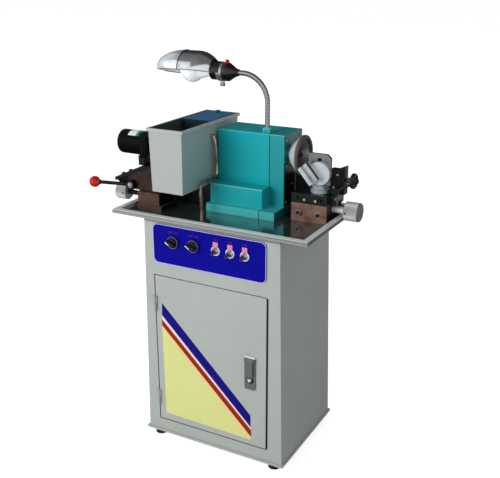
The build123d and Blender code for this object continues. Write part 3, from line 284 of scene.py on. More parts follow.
# Metals: lines along the way that the metal was ground, rolled or turned, and a light film of oil
along = (60, 900, 900)
metals = {
    "chromePlate": dict(colour=tint(206, 209, 212), rough=0.07, spread=0.06, lines=30, depth=10),
    # painted highlight: a brighter, less metallic copy of the chrome for the hood's nose
    "noseMetal": dict(colour=tint(228, 235, 244), rough=0.12, spread=0.08, lines=30, depth=10, metal=0.74),
    "groundSteel": dict(colour=tint(186, 189, 190), rough=0.26, spread=0.14, lines=along, depth=40,
                        metal=0.8),
    # painted shade on the plate's right side, top and chamfer
    "plateSteel": dict(colour=tint(136, 142, 144), rough=0.24, spread=0.16, lines=along, depth=40,
                       metal=0.7, litAndShadedSides=[(rightward, tint(26, 28, 30)), (upward, tint(40, 44, 46)),
                                         ((0.7, 0, 0.7), tint(26, 28, 30))]),
    "discSteel": dict(colour=tint(210, 219, 226), rough=0.26, spread=0.16, lines=(500, 60, 500), depth=50,
                      metal=0.5),
    # painted shade on the jaw's slanted face
    "jawSteel": dict(colour=tint(198, 196, 196), rough=0.36, spread=0.14, lines=(500, 500, 60), depth=40,
                     metal=0.35, litAndShadedSides=[((0.66, 0, 0.75), tint(52, 52, 60))]),
    "darkSteel": dict(colour=tint(62, 64, 66), rough=0.34, spread=0.16, lines=300, depth=60, metal=0.6),
    "leverSteel": dict(colour=tint(84, 84, 80), rough=0.24, spread=0.14, lines=300, depth=50, metal=0.7),
    "indexSteel": dict(colour=tint(34, 34, 35), rough=0.2, spread=0.14, lines=300, depth=50, metal=0.6),
    "blackOxide": dict(colour=tint(8, 8, 9), rough=0.32, spread=0.18, lines=260, depth=100, metal=0.1,
                       shine=0.25),
    "tableSteel": dict(colour=tint(170, 182, 190), rough=0.2, spread=0.16, lines=(60, 60, 900), depth=30,
                       metal=0.5),
    # painted highlight: metal painted near white for the lock's lip and button and the right knob's shaft
    "lipMetal": dict(colour=tint(236, 238, 236), rough=0.3, spread=0.1, lines=220, depth=30, metal=0.15),
    # painted sheen: a bluish ring for the sheen on the selector bezels
    "bezelMetal": dict(colour=tint(104, 106, 158), rough=0.3, spread=0.12, lines=300, depth=30, metal=0.3),
    "knurlMetal": dict(colour=tint(198, 198, 195), rough=0.3, spread=0.14, lines=(900, 40, 40), depth=30,
                       metal=0.5),
    # painted shade: the knobs' end faces are painted darker than the knurl
    "faceMetal": dict(colour=tint(118, 118, 114), rough=0.34, spread=0.14, lines=(40, 500, 500), depth=30,
                      metal=0.5),
    "wheelMetal": dict(colour=tint(204, 216, 224), rough=0.36, spread=0.14, lines=(1600, 20, 20), depth=50,
                       metal=0.45),
    "zincPlate": dict(colour=tint(170, 172, 170), rough=0.32, spread=0.16, lines=220, depth=50, metal=0.5),
    "lockMetal": dict(colour=tint(122, 127, 123), rough=0.3, spread=0.18, lines=(900, 900, 40), depth=50,
                      metal=0.4),
    "brassBolt": dict(colour=tint(226, 196, 128), rough=0.3, spread=0.15, lines=300, depth=40, metal=0.5),
    "bandMetal": dict(colour=tint(190, 192, 190), rough=0.2, spread=0.12, lines=(40, 600, 600), depth=20),
    "neckMetal": dict(colour=tint(168, 174, 174), rough=0.16, spread=0.12, lines=400, depth=20),
}


def bareMetal(name, look):
    metal = Finish(name, Specular_IOR_Level=look.get("shine", 0.5))
    stretch = look["lines"] if isinstance(look["lines"], tuple) else (look["lines"],) * 3
    lines = metal.grain(1.0, 4, stretch)
    oil = metal.band(metal.grain(45, 5), 0.42, 0.75)
    body = metal.mix(oil, shade(look["colour"], 1.03), shade(look["colour"], 0.86))
    rough = look["rough"] + lines * look["spread"] + oil * 0.05
    return metal.done(metal.paintSideLight(look, body), rough, lines, look["depth"], look.get("metal", 1.0))


# Moulded pieces: a fine stipple
plastics = {
    "blackPlastic": dict(colour=tint(26, 26, 27), rough=0.45, stipple=1800, depth=60, coat=0.0),
    "blackPhenolic": dict(colour=tint(11, 10, 11), rough=0.3, stipple=500, depth=30, coat=0.1),
    "redPlastic": dict(colour=tint(190, 12, 10), rough=0.34, stipple=120, depth=4, coat=0.0),
    "footRubber": dict(colour=tint(22, 22, 22), rough=0.7, stipple=1300, depth=100, coat=0.0),
    "beltRubber": dict(colour=tint(28, 28, 28), rough=0.75, stipple=900, depth=200, coat=0.0),
}


def mouldedPiece(name, look):
    plastic = Finish(name, Coat_Weight=look["coat"], Coat_Roughness=0.1)
    dust = plastic.band(plastic.grain(60, 6), 0.5, 0.85)
    colour = plastic.mix(dust, look["colour"], shade(look["colour"], 1.35))
    return plastic.done(colour, look["rough"] + dust * 0.15, plastic.grain(look["stipple"], 2), look["depth"])


# wall is painted shade on the tray's outer front and right walls; lip is painted light on the faces that look
# up
trayLook = dict(rim=tint(196, 201, 198), floor=tint(146, 158, 158), wall=tint(140, 145, 141),
                lip=tint(232, 237, 234), level=592.5, under=589.4, hem=594)


def traySheet(name):
    sheet = Finish(name)
    lines = sheet.grain(1.0, 4, (30, 700, 700))
    pool = sheet.grain(14, 4)
    height = sheet.axis("Z")
    wall = sheet.facing(forward).most(sheet.facing(rightward)) * (height < level(trayLook["hem"]))
    floor = (height < level(trayLook["level"])) * (height > level(trayLook["under"])) * (1 - wall)
    wet = sheet.mix(sheet.band(pool, 0.35, 0.7), trayLook["floor"], shade(trayLook["floor"], 0.6))
    dry = sheet.mix(lines, shade(trayLook["rim"], 0.92), shade(trayLook["rim"], 1.05))
    dry = sheet.mix(sheet.facing(upward), sheet.mix(wall, dry, trayLook["wall"]), trayLook["lip"])
    rough = (1 - floor) * (0.3 + lines * 0.12) + floor * (0.08 + pool * 0.1)
    return sheet.done(sheet.mix(floor, dry, wet), rough, lines, 30, 0.2 + floor * 0.7)


# inside is painted shade in the tank, darker towards the bottom; the right side is painted shade
tankLook = dict(outside=tint(168, 174, 172), inside=tint(56, 72, 62),
                litAndShadedSides=[(rightward, tint(152, 176, 174))])


def tankSheet(name):
    sheet = Finish(name, Coat_Weight=0.1)
    low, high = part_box("coolant_tank")
    centre = (low + high) / 2
    away = sheet.add("ShaderNodeVectorMath", {"operation": "SUBTRACT"}, {0: sheet.where, 1: centre})
    inside = sheet.dot(away, sheet.add("ShaderNodeNewGeometry", out=1)) < 0
    slow = sheet.grain(11, 3)
    # painted shade inside the tank, darker towards the bottom
    depth = sheet.band(sheet.axis("Z"), low.z, high.z)
    stainAndShade = sheet.mix(depth, shade(tankLook["inside"], 0.35), tankLook["inside"])
    coat = sheet.mix(slow, shade(tankLook["outside"], 0.95), shade(tankLook["outside"], 1.04))
    colour = sheet.mix(inside, sheet.paintSideLight(tankLook, coat), stainAndShade)
    return sheet.done(colour, 0.42 + inside * 0.2 + slow * 0.06, sheet.grain(480, 2), 120)


gritLook = dict(colour=tint(112, 100, 92), fleck=tint(162, 152, 142), dark=tint(70, 61, 56))


def gritRim(name):
    grit = Finish(name)
    grains = grit.add("ShaderNodeTexVoronoi", None, {"Vector": grit.where, "Scale": 1500})
    bond = grit.grain(700, 4)
    body = grit.mix(bond, gritLook["dark"], gritLook["colour"])
    colour = grit.mix(grit.band(bond, 0.6, 0.68), body, gritLook["fleck"])
    return grit.done(colour, 0.75 + bond * 0.2, grains + bond, 300)


copperLook = dict(bright=tint(192, 160, 140), dull=tint(128, 102, 88))


def copperTube(name):
    tube = Finish(name)
    patches = tube.band(tube.grain(40, 3), 0.38, 0.7)
    colour = tube.mix(patches, copperLook["bright"], copperLook["dull"])
    return tube.done(colour, 0.26 + patches * 0.2, tube.grain(500, 3), 50, 1.0)


# darkPrimer is brownPrimer dimmed as painted shade; both risers' right sides are painted shade
primers = {
    "brownPrimer": dict(dim=1.0, litAndShadedSides=[(rightward, tint(16, 13, 12))]),
    "darkPrimer": dict(dim=0.37, litAndShadedSides=[(rightward, tint(9, 7, 7))]),
}
primerLook = dict(light=tint(166, 126, 112), dark=tint(100, 70, 60))


def brushedPrimer(name, look):
    primer = Finish(name)
    brush = primer.grain(1.0, 5, (50, 50, 420))
    stainAndShade = primer.band(primer.grain(30, 6), 0.4, 0.72)
    body = primer.mix(brush, shade(primerLook["light"], look["dim"]), shade(primerLook["dark"], look["dim"]))
    body = primer.mix(stainAndShade, body, shade(primerLook["dark"], look["dim"] * 0.8))
    marks = brush + primer.grain(300, 3)
    return primer.done(primer.paintSideLight(look, body), 0.42 + stainAndShade * 0.2, marks, 150, 0.2 + stainAndShade * 0.1)


cupLook = dict(outside=tint(222, 236, 244), inside=tint(150, 156, 160), deep=tint(34, 36, 40),
               run=(119, 143))


def cupMetal(name):  # turned outside; the inside is painted shade, darker towards the bottom of the cup
    cup = Finish(name)
    rings = cup.grain(1.0, 4, (1600, 20, 20))
    bottom, mouth = (at(x, 0, 0).x for x in cupLook["run"])
    inside = cup.mix(cup.band(cup.axis("X"), bottom, mouth), cupLook["deep"], cupLook["inside"])
    body = cup.mix(rings, shade(cupLook["outside"], 0.88), shade(cupLook["outside"], 1.05))
    bowl = cup.band(cup.split(cup.outlook(), "X"), 0.02, 0.1)
    rough = 0.34 - bowl * 0.1 + rings * 0.14
    return cup.done(cup.mix(bowl, body, inside), rough, rings, 50, 0.32 + bowl * 0.43)


castLook = dict(front=tint(60, 29, 22), stainAndShade=tint(24, 12, 10), rest=tint(9, 9, 10), arm=(-302, 646),
                rise=0.4535, left=(-258, -246))


def carriageCast(name):  # brown primer on the front under the arm, black oxide elsewhere
    cast = Finish(name)
    stainAndShade = cast.band(cast.grain(34, 6), 0.38, 0.7)
    corner = at(castLook["arm"][0], 0, castLook["arm"][1])
    armLine = (cast.axis("X") - corner.x) * castLook["rise"] + corner.z
    under = 1 - cast.band(cast.axis("Z") - armLine, -0.004, 0.0)
    start, full = (at(x, 0, 0).x for x in castLook["left"])
    front = cast.facing(forward) * under * cast.band(cast.axis("X"), start, full)
    brown = cast.mix(stainAndShade, castLook["front"], castLook["stainAndShade"])
    colour = cast.mix(front, castLook["rest"], brown)
    return cast.done(colour, 0.38 + stainAndShade * 0.18, cast.grain(260, 4), 100, 0.3 - front * 0.2)


clampLook = dict(band=tint(176, 178, 176), screw=tint(70, 72, 72), below=889)


def clampStrip(name):
    strip = Finish(name)
    lines = strip.grain(1.0, 4, (40, 600, 600))
    below = strip.axis("Z") < level(clampLook["below"])
    colour = strip.mix(below, clampLook["band"], clampLook["screw"])
    return strip.done(colour, 0.22 + lines * 0.14, lines, 30, 0.8)


ironLook = dict(colour=tint(26, 42, 42), oil=tint(14, 21, 21))


def slideIron(name):
    iron = Finish(name, Coat_Weight=0.3, Coat_Roughness=0.12)
    oil = iron.band(iron.grain(40, 5), 0.4, 0.65)
    colour = iron.mix(oil, ironLook["colour"], ironLook["oil"])
    return iron.done(colour, 0.36 - oil * 0.14, iron.grain(260, 4), 100, 0.6 - oil * 0.3)


# painted light: the unlit bulb is given a faint white glow, so that it looks bright under the hood
glassLook = dict(dim=tint(236, 238, 240), clear=tint(250, 250, 250), glow=(1, 1, 1, 1))


def bulbGlass(name):
    glass = Finish(name, IOR=1.45, Coat_Weight=0.6, Coat_Roughness=0.03,
                   Emission_Color=glassLook["glow"], Emission_Strength=0.16)
    frost = glass.grain(900, 3)
    colour = glass.mix(glass.grain(40, 3), glassLook["dim"], glassLook["clear"])
    return glass.done(colour, 0.12 + frost * 0.12, frost, 30)


finishes = {}
families = ((paints, coatPaint), (metals, bareMetal), (plastics, mouldedPiece), (primers, brushedPrimer))
for family, make in families:
    for name, look in family.items():
        finishes[name] = make(name, look)
singles = (traySheet, tankSheet, gritRim, copperTube, cupMetal, carriageCast, clampStrip, slideIron,
           bulbGlass)
for make in singles:
    finishes[make.__name__] = make(make.__name__)
print("finishes made:", len(finishes))

# What each frame node is finished in, and how far its edges are broken, in millimetres
dress = {
    "footRubber": {"rubber_feet": 1.5},
    "greyPaint": {"base_plate": 0.8, "cabinet_wrap": 0.0, "cabinet_front": 0.0, "door_panel": 0.8,
                  "hinge_frame_halves": 0.4, "hinge_door_halves": 0.4},
    "blackPlastic": {"cable_gland": 0.6, "selector_bezels": 1.0, "selector_knob_left": 0.0,
                     "selector_knob_right": 0.0},
    "panelPaint": {"control_panel": 0.4},
    "chromePlate": {"toggle_bushings": 0.5, "lock_button": 0.0},
    "leverSteel": {"toggle_lever_left": 0.0, "toggle_lever_middle": 0.0, "toggle_lever_right": 0.0},
    "lockMetal": {"lock_plate": 0.6, "lock_handle": 0.6},
    "traySheet": {"drip_tray": 0.5},
    "baseEnamel": {"headstock_base": 2.4},
    "casingEnamel": {"headstock_casing": 2.6, "lamp_foot": 0.3},
    "standEnamel": {"bearing_stand": 2.6},
    "groundSteel": {"spindle_bearings": 0.4, "spindle": 0.4},
    "wheelMetal": {"spindle_pulley": 0.4},
    "darkSteel": {"motor_pulley": 0.4, "wheel_screw": 0.4, "work_arbor": 0.4},
    "beltRubber": {"drive_belt": 0.6},
    "motorPaint": {"main_motor": 1.5},
    "cupMetal": {"cup_wheel_body": 0.5},
    "gritRim": {"cup_wheel_rim": 0.5},
    "tankSheet": {"coolant_tank": 0.6},
    "pumpPaint": {"coolant_pump": 1.2},
    "blackPaint": {"tank_support": 1.0},
    "clampStrip": {"shade_clamp": 0.5},
    "darkPrimer": {"left_riser": 0.8},
    "carriageCast": {"left_carriage": 1.0},
    "blackOxide": {"feed_lever": 0.5, "index_bracket": 1.0},
    "brownPrimer": {"right_riser": 0.8},
    "slideIron": {"right_slide": 0.8},
    "tableSteel": {"swivel_table": 0.3},
    "plateSteel": {"angle_plate": 0.8},
    "discSteel": {"vise_head": 0.7},
    "jawSteel": {"vise_jaw": 0.4},
    "indexSteel": {"index_lever": 0.4},
}


def breakEdges(piece, width):  # joins the tessellation, then rounds what is sharp
    weld = piece.modifiers.new("weld", "WELD")
    weld.merge_threshold = 0.00001
    edge = piece.modifiers.new("edge", "BEVEL")
    edge.width, edge.segments = width / 1000, 2
    edge.limit_method, edge.angle_limit = "ANGLE", math.radians(40)
    smooth = piece.modifiers.new("smooth", "WEIGHTED_NORMAL")
    smooth.keep_sharp, smooth.weight = True, 100


for finish, widths in dress.items():
    for name, width in widths.items():
        piece = nodes[name]
        piece.data.materials.clear()
        piece.data.materials.append(finishes[finish].material)
        if width:
            breakEdges(piece, width)
print("frame nodes dressed:", sum(len(widths) for widths in dress.values()))


def basis(way):
    along = Vector(way).normalized()
    across = along.orthogonal().normalized()
    return across, along.cross(across), along


def bridge(bm, low, high, sheet=0, closed=True):  # faces between two rows of corners
    faces = []
    for i in range(len(low) if closed else len(low) - 1):
        j = (i + 1) % len(low)
        faces.append(bm.faces.new((low[i], low[j], high[j], high[i])))
        faces[-1].material_index = sheet
    return faces


def ring(bm, centre, across, up, steps, reach):  # corners round a centre; reach gives the radius
    corners = []
    for i, turn in enumerate(even(0, 2 * math.pi, steps)[:-1]):
        size = reach(i, turn) / 1000
        corners.append(bm.verts.new(centre + across * (size * math.cos(turn)) + up * (size * math.sin(turn))))
    return corners


def closeEnds(bm, rings, sheet):
    for corners in (rings[0][::-1], rings[-1]):
        if len(corners) > 2:
            bm.faces.new(corners).material_index = sheet


def noDip(radius, i):
    return 0.0


def knurl(depth):
    return lambda radius, i: depth * (i % 2)


def lathe(bm, start, way, profile, steps=48, sheet=0, dip=noDip):  # profile of (along, radius) in millimetres
    across, up, along = basis(way)
    rings = []
    for run, radius in profile:
        centre = start + along * (run / 1000)
        if radius < 0.001:
            rings.append([bm.verts.new(centre)])
        else:
            rings.append(ring(bm, centre, across, up, steps, lambda i, turn: radius - dip(radius, i)))
    for low, high in zip(rings, rings[1:]):
        for i in range(max(len(low), len(high))):
            j = (i + 1) % max(len(low), len(high))
            corners = [low[i % len(low)], low[j % len(low)], high[j % len(high)], high[i % len(high)]]
            corners = [v for k, v in enumerate(corners) if v not in corners[:k]]
            bm.faces.new(corners).material_index = sheet
    closeEnds(bm, rings, sheet)


def prism(bm, outline, push, sheet=0):
    low = [bm.verts.new(point) for point in outline]
    high = [bm.verts.new(point + push) for point in outline]
    faces = [bm.faces.new(low[::-1]), bm.faces.new(high), *bridge(bm, low, high)]
    for face in faces:
        face.material_index = sheet
    return faces


def rounded(bm, faces, soft):  # rounds the faces' edges by soft millimetres
    edges = list(dict.fromkeys(edge for face in faces for edge in face.edges))
    bmesh.ops.bevel(bm, geom=edges, offset=soft / 1000, segments=2, profile=0.6, affect="EDGES")


def slab(bm, x, y, z, soft):  # a box over three ranges
    corners = [at(x[0], y[0], z[0]), at(x[1], y[0], z[0]), at(x[1], y[1], z[0]), at(x[0], y[1], z[0])]
    rounded(bm, prism(bm, corners, Vector((0, 0, (z[1] - z[0]) / 1000))), soft)


def sweep(bm, points, reach, steps, sheet=0):  # a tube along points; reach is its radius, or gives it
    tangents = [(b - a).normalized() for a, b in zip([points[0], *points], [*points[1:], points[-1]])]
    across = tangents[0].orthogonal().normalized()
    rings = []
    for i, (point, along) in enumerate(zip(points, tangents)):
        across = (across - along * across.dot(along)).normalized()
        size = (lambda k, turn: reach(i, turn)) if callable(reach) else (lambda k, turn: reach)
        rings.append(ring(bm, point, across, along.cross(across), steps, size))
    for low, high in zip(rings, rings[1:]):
        bridge(bm, low, high, sheet)
    closeEnds(bm, rings, sheet)


def capScrew(bm, seat, way, radius, height, sheet=0):  # round head with a socket
    rim, floor = height * 0.85, height * 0.35
    lathe(bm, seat, way, [(0, radius), (rim, radius), (height, radius * 0.9), (height, radius * 0.5),
                          (floor, radius * 0.48), (floor, 0)], 24, sheet)


def hexBolt(bm, seat, way, radius, height):  # washer, then a six-sided head
    washer, low, rim = radius * 1.35, height * 0.25, height * 0.9
    lathe(bm, seat, way, [(0, washer), (low, washer), (low, 0)], 28)
    lathe(bm, seat, way, [(height * 0.2, radius), (rim, radius), (height, radius * 0.86), (height, 0)], 6)


def keep(name, bm, body, looks, stands=(), sharp=38):
    bmesh.ops.recalc_face_normals(bm, faces=bm.faces)
    mesh = bpy.data.meshes.new(name)
    bm.to_mesh(mesh)
    bm.free()
    for look in [looks] if isinstance(looks, str) else looks:
        mesh.materials.append(finishes[look].material)
    mesh.polygons.foreach_set("use_smooth", [True] * len(mesh.polygons))
    mesh.set_sharp_from_angle(angle=math.radians(sharp))
    piece = bpy.data.objects.new(name, mesh)
    scene.collection.objects.link(piece)
    if body:
        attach(piece, body)
    if stands:
        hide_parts(*stands)
    return piece


# Lamp: its axis runs along X at this place
lamp = dict(y=37.4, z=914.6, neckFoot=(55, 792.6), straight=56, bend=66, tail=9, crest=6.25, groove=0.6,
            pitch=3.4, coilSteps=8)


def neckPoint(run):
    (footX, footZ), straight, bend = lamp["neckFoot"], lamp["straight"], lamp["bend"]
    if run < straight:
        return at(footX, lamp["y"], footZ + run)
    turn = (run - straight) / bend
    if turn < math.pi / 2:
        return at(footX - bend * (1 - math.cos(turn)), lamp["y"], footZ + straight + bend * math.sin(turn))
    return at(footX - bend - (run - straight - bend * math.pi / 2), lamp["y"], lamp["z"])


neckRun = lamp["straight"] + lamp["bend"] * math.pi / 2 + lamp["tail"]
neckRings = int(neckRun / lamp["pitch"] * lamp["coilSteps"])
neckLine = [neckPoint(run) for run in even(0, neckRun, neckRings)]


def neckReach(i, turn):  # a strip wound round the bore: its crest climbs one pitch each turn
    phase = (i / lamp["coilSteps"] - turn / (2 * math.pi)) % 1.0
    return lamp["crest"] - lamp["groove"] * max(0.0, math.cos(2 * math.pi * phase)) ** 3


bm = bmesh.new()
sweep(bm, neckLine, neckReach, 28)
neck = keep("goose_neck", bm, None, "neckMetal", sharp=70)
at(55, lamp["y"], 850)
at(-14, lamp["y"], 915)
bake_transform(neck)
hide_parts("gooseneck")

holder = dict(right=-20, profile=[
    (0, 7.2), (1.5, 8.6), (6, 8.8), (7, 9.6), (14, 13.5), (22, 18.6), (25, 20.6), (26.5, 21.5), (36, 21.5),
    (37.2, 20.9), (38, 20), (52.5, 20), (53, 18.8), (54, 18.8), (54.6, 20), (56.6, 20), (57.2, 18.8),
    (58.2, 18.8), (58.8, 20), (60.8, 20), (61.4, 18.8), (62.4, 18.8), (63, 20), (70.5, 20), (72, 19),
    (72, 14.6), (54, 14.2), (54, 0),
])
bm = bmesh.new()  # phenolic holder, with its rings turned in
lathe(bm, at(holder["right"], lamp["y"], lamp["z"]), leftward, holder["profile"], 56)
keep("lamp_holder_turned", bm, "lamp_head", "blackPhenolic", ["lamp_holder"], 30)

bulb = dict(seat=-92, globe=(-148, 30), open=0.24, neck=[(0, 0), (0, 12.6), (6, 13), (14, 15), (24, 18.4)],
            cap=[(-14, 0), (-14, 12.4), (-10, 13), (-8.5, 12.2), (-7, 13), (-5.5, 12.2), (-4, 13),
                 (-2.5, 12.2), (-1, 13), (0, 13)])
globeX, globeRadius = bulb["globe"]
globe = [(bulb["seat"] - globeX - dx, radius)
         for dx, radius in circle(globeRadius, even(math.pi * bulb["open"], math.pi, 16))]
bm = bmesh.new()
lathe(bm, at(bulb["seat"], lamp["y"], lamp["z"]), leftward, bulb["cap"], 40, 1)
lathe(bm, at(bulb["seat"], lamp["y"], lamp["z"]), leftward, bulb["neck"] + globe, 56, 0)
keep("bulb", bm, "lamp_head", ["bulbGlass", "bandMetal"], ["lamp_bulb"], 40)

hood = dict(neck=(-65.2, -82.2, 23.7), barrel=(-130.2, -166.2, 45.4), tip=-247.0, skirt=6, wall=1.3,
            mouth=15, swell=2.1, steps=44, collar=(-65.2, -80.6), collarEnd=[-82.2, -84.6, -87],
            flare=(-87, -132), barrelFrom=-134, barrelShort=1.2, lap=1.5, bead=0.9, lip=1.1,
            lipRun=(-84, -240), rivet=[(0, 2.2), (1.4, 1.9), (2.1, 1.0), (2.3, 0)], rivetTurn=0.16,
            rivetIn=6, rivetSink=0.6, seamIn=0.8, seamOut=0.5, least=0.4)


def hoodRadius(x):
    _, neckLeft, small = hood["neck"]
    right, left, wide = hood["barrel"]
    if x > neckLeft:
        return small
    if x > right:
        share = (neckLeft - x) / (neckLeft - right)
        return small + (wide - small) * (1 - (1 - share) ** hood["swell"])
    if x > left:
        return wide
    share = (left - x) / (left - hood["tip"])
    return wide * math.sqrt(max(0.0, 1 - share * share))


def hoodLips(radius):  # where the shell ends round the lamp's axis: behind, then in front
    under = math.asin(min(1.0, hood["skirt"] / radius))
    return -under - math.radians(hood["mouth"]), math.pi + under - math.radians(hood["mouth"])


def hoodPoint(x, radius, turn):
    return at(x, lamp["y"] + radius * math.cos(turn), lamp["z"] + radius * math.sin(turn))


def hoodShell(bm, stations, inset, sheet):
    rows = []
    for x in stations:
        radius = max(hoodRadius(x) - inset, hood["least"])
        turns = even(*hoodLips(radius), hood["steps"])
        rows.append([bm.verts.new(hoodPoint(x, radius, turn)) for turn in turns])
    for low, high in zip(rows, rows[1:]):
        bridge(bm, low, high, sheet, False)
    return rows


def hoodPart(bm, stations, outside=0):
    outer = hoodShell(bm, stations, 0.0, outside)
    inner = hoodShell(bm, stations, hood["wall"], 1)
    for end in (0, -1):
        bridge(bm, outer[end], inner[end], outside, False)
        bridge(bm, [row[end] for row in outer], [row[end] for row in inner], outside, False)


right, left, wide = hood["barrel"]
bm = bmesh.new()
hoodPart(bm, even(*hood["collar"], 7) + hood["collarEnd"], 2)  # black collar
hoodPart(bm, even(*hood["flare"], 15) + even(hood["barrelFrom"], left + hood["barrelShort"], 5))
nose = [left - (left - hood["tip"]) * math.sin(turn) for turn in even(0, math.pi / 2, 26)[1:]]
# the nose takes sheet 3, the brighter chrome copy painted as a highlight
hoodPart(bm, even(left + hood["lap"], left, 3) + nose, 3)
first, last = hoodLips(wide)
seam = [hoodPoint(left + hood["seamIn"], wide + hood["seamOut"], turn) for turn in even(first, last, 48)]
sweep(bm, seam, hood["bead"], 8, 2)  # folded seam where the nose meets the barrel
for side in (0, 1):  # rolled lip along both sides of the mouth
    line = []
    for x in even(*hood["lipRun"], 39):
        radius = hoodRadius(x) - hood["wall"] / 2
        if radius > hood["skirt"] + 1:
            line.append(hoodPoint(x, radius, hoodLips(radius)[side]))
    sweep(bm, line, hood["lip"], 8)
for turn in (first + hood["rivetTurn"], last - hood["rivetTurn"]):  # rivets of the seam
    outward = Vector((0, math.cos(turn), math.sin(turn)))
    lathe(bm, hoodPoint(left + hood["rivetIn"], wide - hood["rivetSink"], turn), outward, hood["rivet"], 16)
keep("hood_shell", bm, "lamp_shade", ["chromePlate", "whiteEnamel", "blackPhenolic", "noseMetal"],
     ["lamp_hood"], 42)

screw = dict(spot=(-65.2, lamp["y"], 889.5), stem=[(-3, 2.4), (0, 2.4), (0, 3.6), (1, 4)], steps=40,
             head=[(1, 5.4), (2, 6.2), (7, 6.2), (8, 5.4), (8.6, 3.8), (8.6, 0)], knurl=0.6)
bm = bmesh.new()  # knurled thumbscrew of the clamp
lathe(bm, at(*screw["spot"]), downward, screw["stem"], screw["steps"])
lathe(bm, at(*screw["spot"]), downward, screw["head"], screw["steps"], 0, knurl(screw["knurl"]))
keep("clamp_thumbscrew", bm, "lamp_shade", "zincPlate")

button = dict(spot=(-52, lamp["y"], 934.4), profile=[
    (0, 0), (0, 4.4), (1.4, 4.4), (1.6, 5.6), (3.4, 5.6), (6.4, 5.1), (8.2, 3.8), (9.0, 2.4), (9.2, 0),
])
bm = bmesh.new()  # red push cap of the lamp switch
lathe(bm, at(*button["spot"]), upward, button["profile"], 36)
keep("switch_cap", bm, "lamp_switch", "redPlastic", ["lamp_switch"])
print("lamp made")

# Feed knobs with straight knurls, on their shafts
knobs = [
    dict(side="left", face=-275, end=-305, y=-70, z=619, radius=20, shaft=6, root=-188.2, teeth=64,
         bar="blackOxide"),
    # the right knob's shaft is in metal painted near white as a highlight
    dict(side="right", face=261, end=296.5, y=34, z=619, radius=22.5, shaft=8, root=189.2, teeth=72,
         bar="lipMetal"),
]
knurlDepth, setScrew, setScrewIn = 0.75, [(0, 2.4), (0.3, 2.4), (0.3, 0)], 5.5
for knob in knobs:
    outward = 1 if knob["end"] > knob["face"] else -1
    run, radius, steps = abs(knob["end"] - knob["face"]), knob["radius"], knob["teeth"] * 2
    start, way, side = at(knob["face"], knob["y"], knob["z"]), (outward, 0, 0), knob["side"]
    bm = bmesh.new()
    lathe(bm, start, way, [(0, radius * 0.55), (0, radius - 1.6), (1.3, radius - 0.5), (1.4, radius)], steps)
    lathe(bm, start, way, [(1.4, radius), (run - 2.6, radius)], steps, 0, knurl(knurlDepth))
    lathe(bm, start, way, [
        (run - 2.6, radius - 0.3), (run - 1.2, radius - 0.6), (run, radius - 2.0), (run, radius * 0.8),
        (run - 0.6, radius * 0.76), (run - 0.6, radius * 0.3), (run - 1.6, radius * 0.26), (run - 1.6, 0),
    ], steps, 3)
    stem = abs(knob["face"] - knob["root"])
    lathe(bm, start, (-outward, 0, 0), [(0, knob["shaft"]), (stem, knob["shaft"])], 40, 1)
    hole = start + Vector((outward * setScrewIn / 1000, -(radius - 0.4) / 1000, 0))
    lathe(bm, hole, forward, setScrew, 16, 2)
    keep(side + "_knob_knurled", bm, side + "_knob", ["knurlMetal", knob["bar"], "blackOxide", "faceMetal"],
         [side + "_feed_knob"], 32)

ball = dict(spot=(-360.8, -96.7, 640.2), radius=14, dip=3.5, neck=6.2, seat=16.5, open=0.5)
dip = math.radians(ball["dip"])
ballWay = Vector((-math.cos(dip), 0, -math.sin(dip)))
profile = [(0, 4.7), (0, ball["neck"]), (1.5, ball["neck"]), (3.2, 6.6)]
turns = even(ball["open"], math.pi, 20)
profile += [(ball["seat"] - dx, radius) for dx, radius in circle(ball["radius"], turns)]
bm = bmesh.new()
lathe(bm, at(*ball["spot"]) - ballWay * (ball["seat"] / 1000), ballWay, profile, 48)
keep("ball_grip", bm, "feed_lever", "redPlastic", ["lever_ball"], 40)

handwheel = dict(start=(274.5, 27, 693.4), flutes=9, fluteDepth=1.5, fluteFrom=15, fluteFade=2.5, steps=108,
                 rim=[(1.6, 8), (1.6, 12.5), (0.3, 13.4), (0, 15.2), (0.9, 17.2), (3, 18), (7, 18),
                      (9.1, 17.2), (10, 15.2), (9.6, 13.4), (6.6, 12), (6.6, 8), (9, 7.2), (9.6, 6)],
                 stem=[(-3, 4), (3, 4), (3, 7), (8, 7), (9, 6), (9, 4), (25, 4)])


def flute(radius, i):  # finger grooves, only in the outer part of the rim
    wave = max(0.0, math.cos(2 * math.pi * i / handwheel["steps"] * handwheel["flutes"])) ** 2
    fade = min(1.0, max(0.0, (radius - handwheel["fluteFrom"]) / handwheel["fluteFade"]))
    return handwheel["fluteDepth"] * wave * fade


bm = bmesh.new()
lathe(bm, at(*handwheel["start"]), rightward, handwheel["rim"], handwheel["steps"], 0, flute)
lathe(bm, at(*handwheel["start"]), leftward, handwheel["stem"], 28, 1)
keep("index_handwheel", bm, "index_knob", ["blackPhenolic", "leverSteel"],
     ["index_knob"], 40)
print("knobs made")

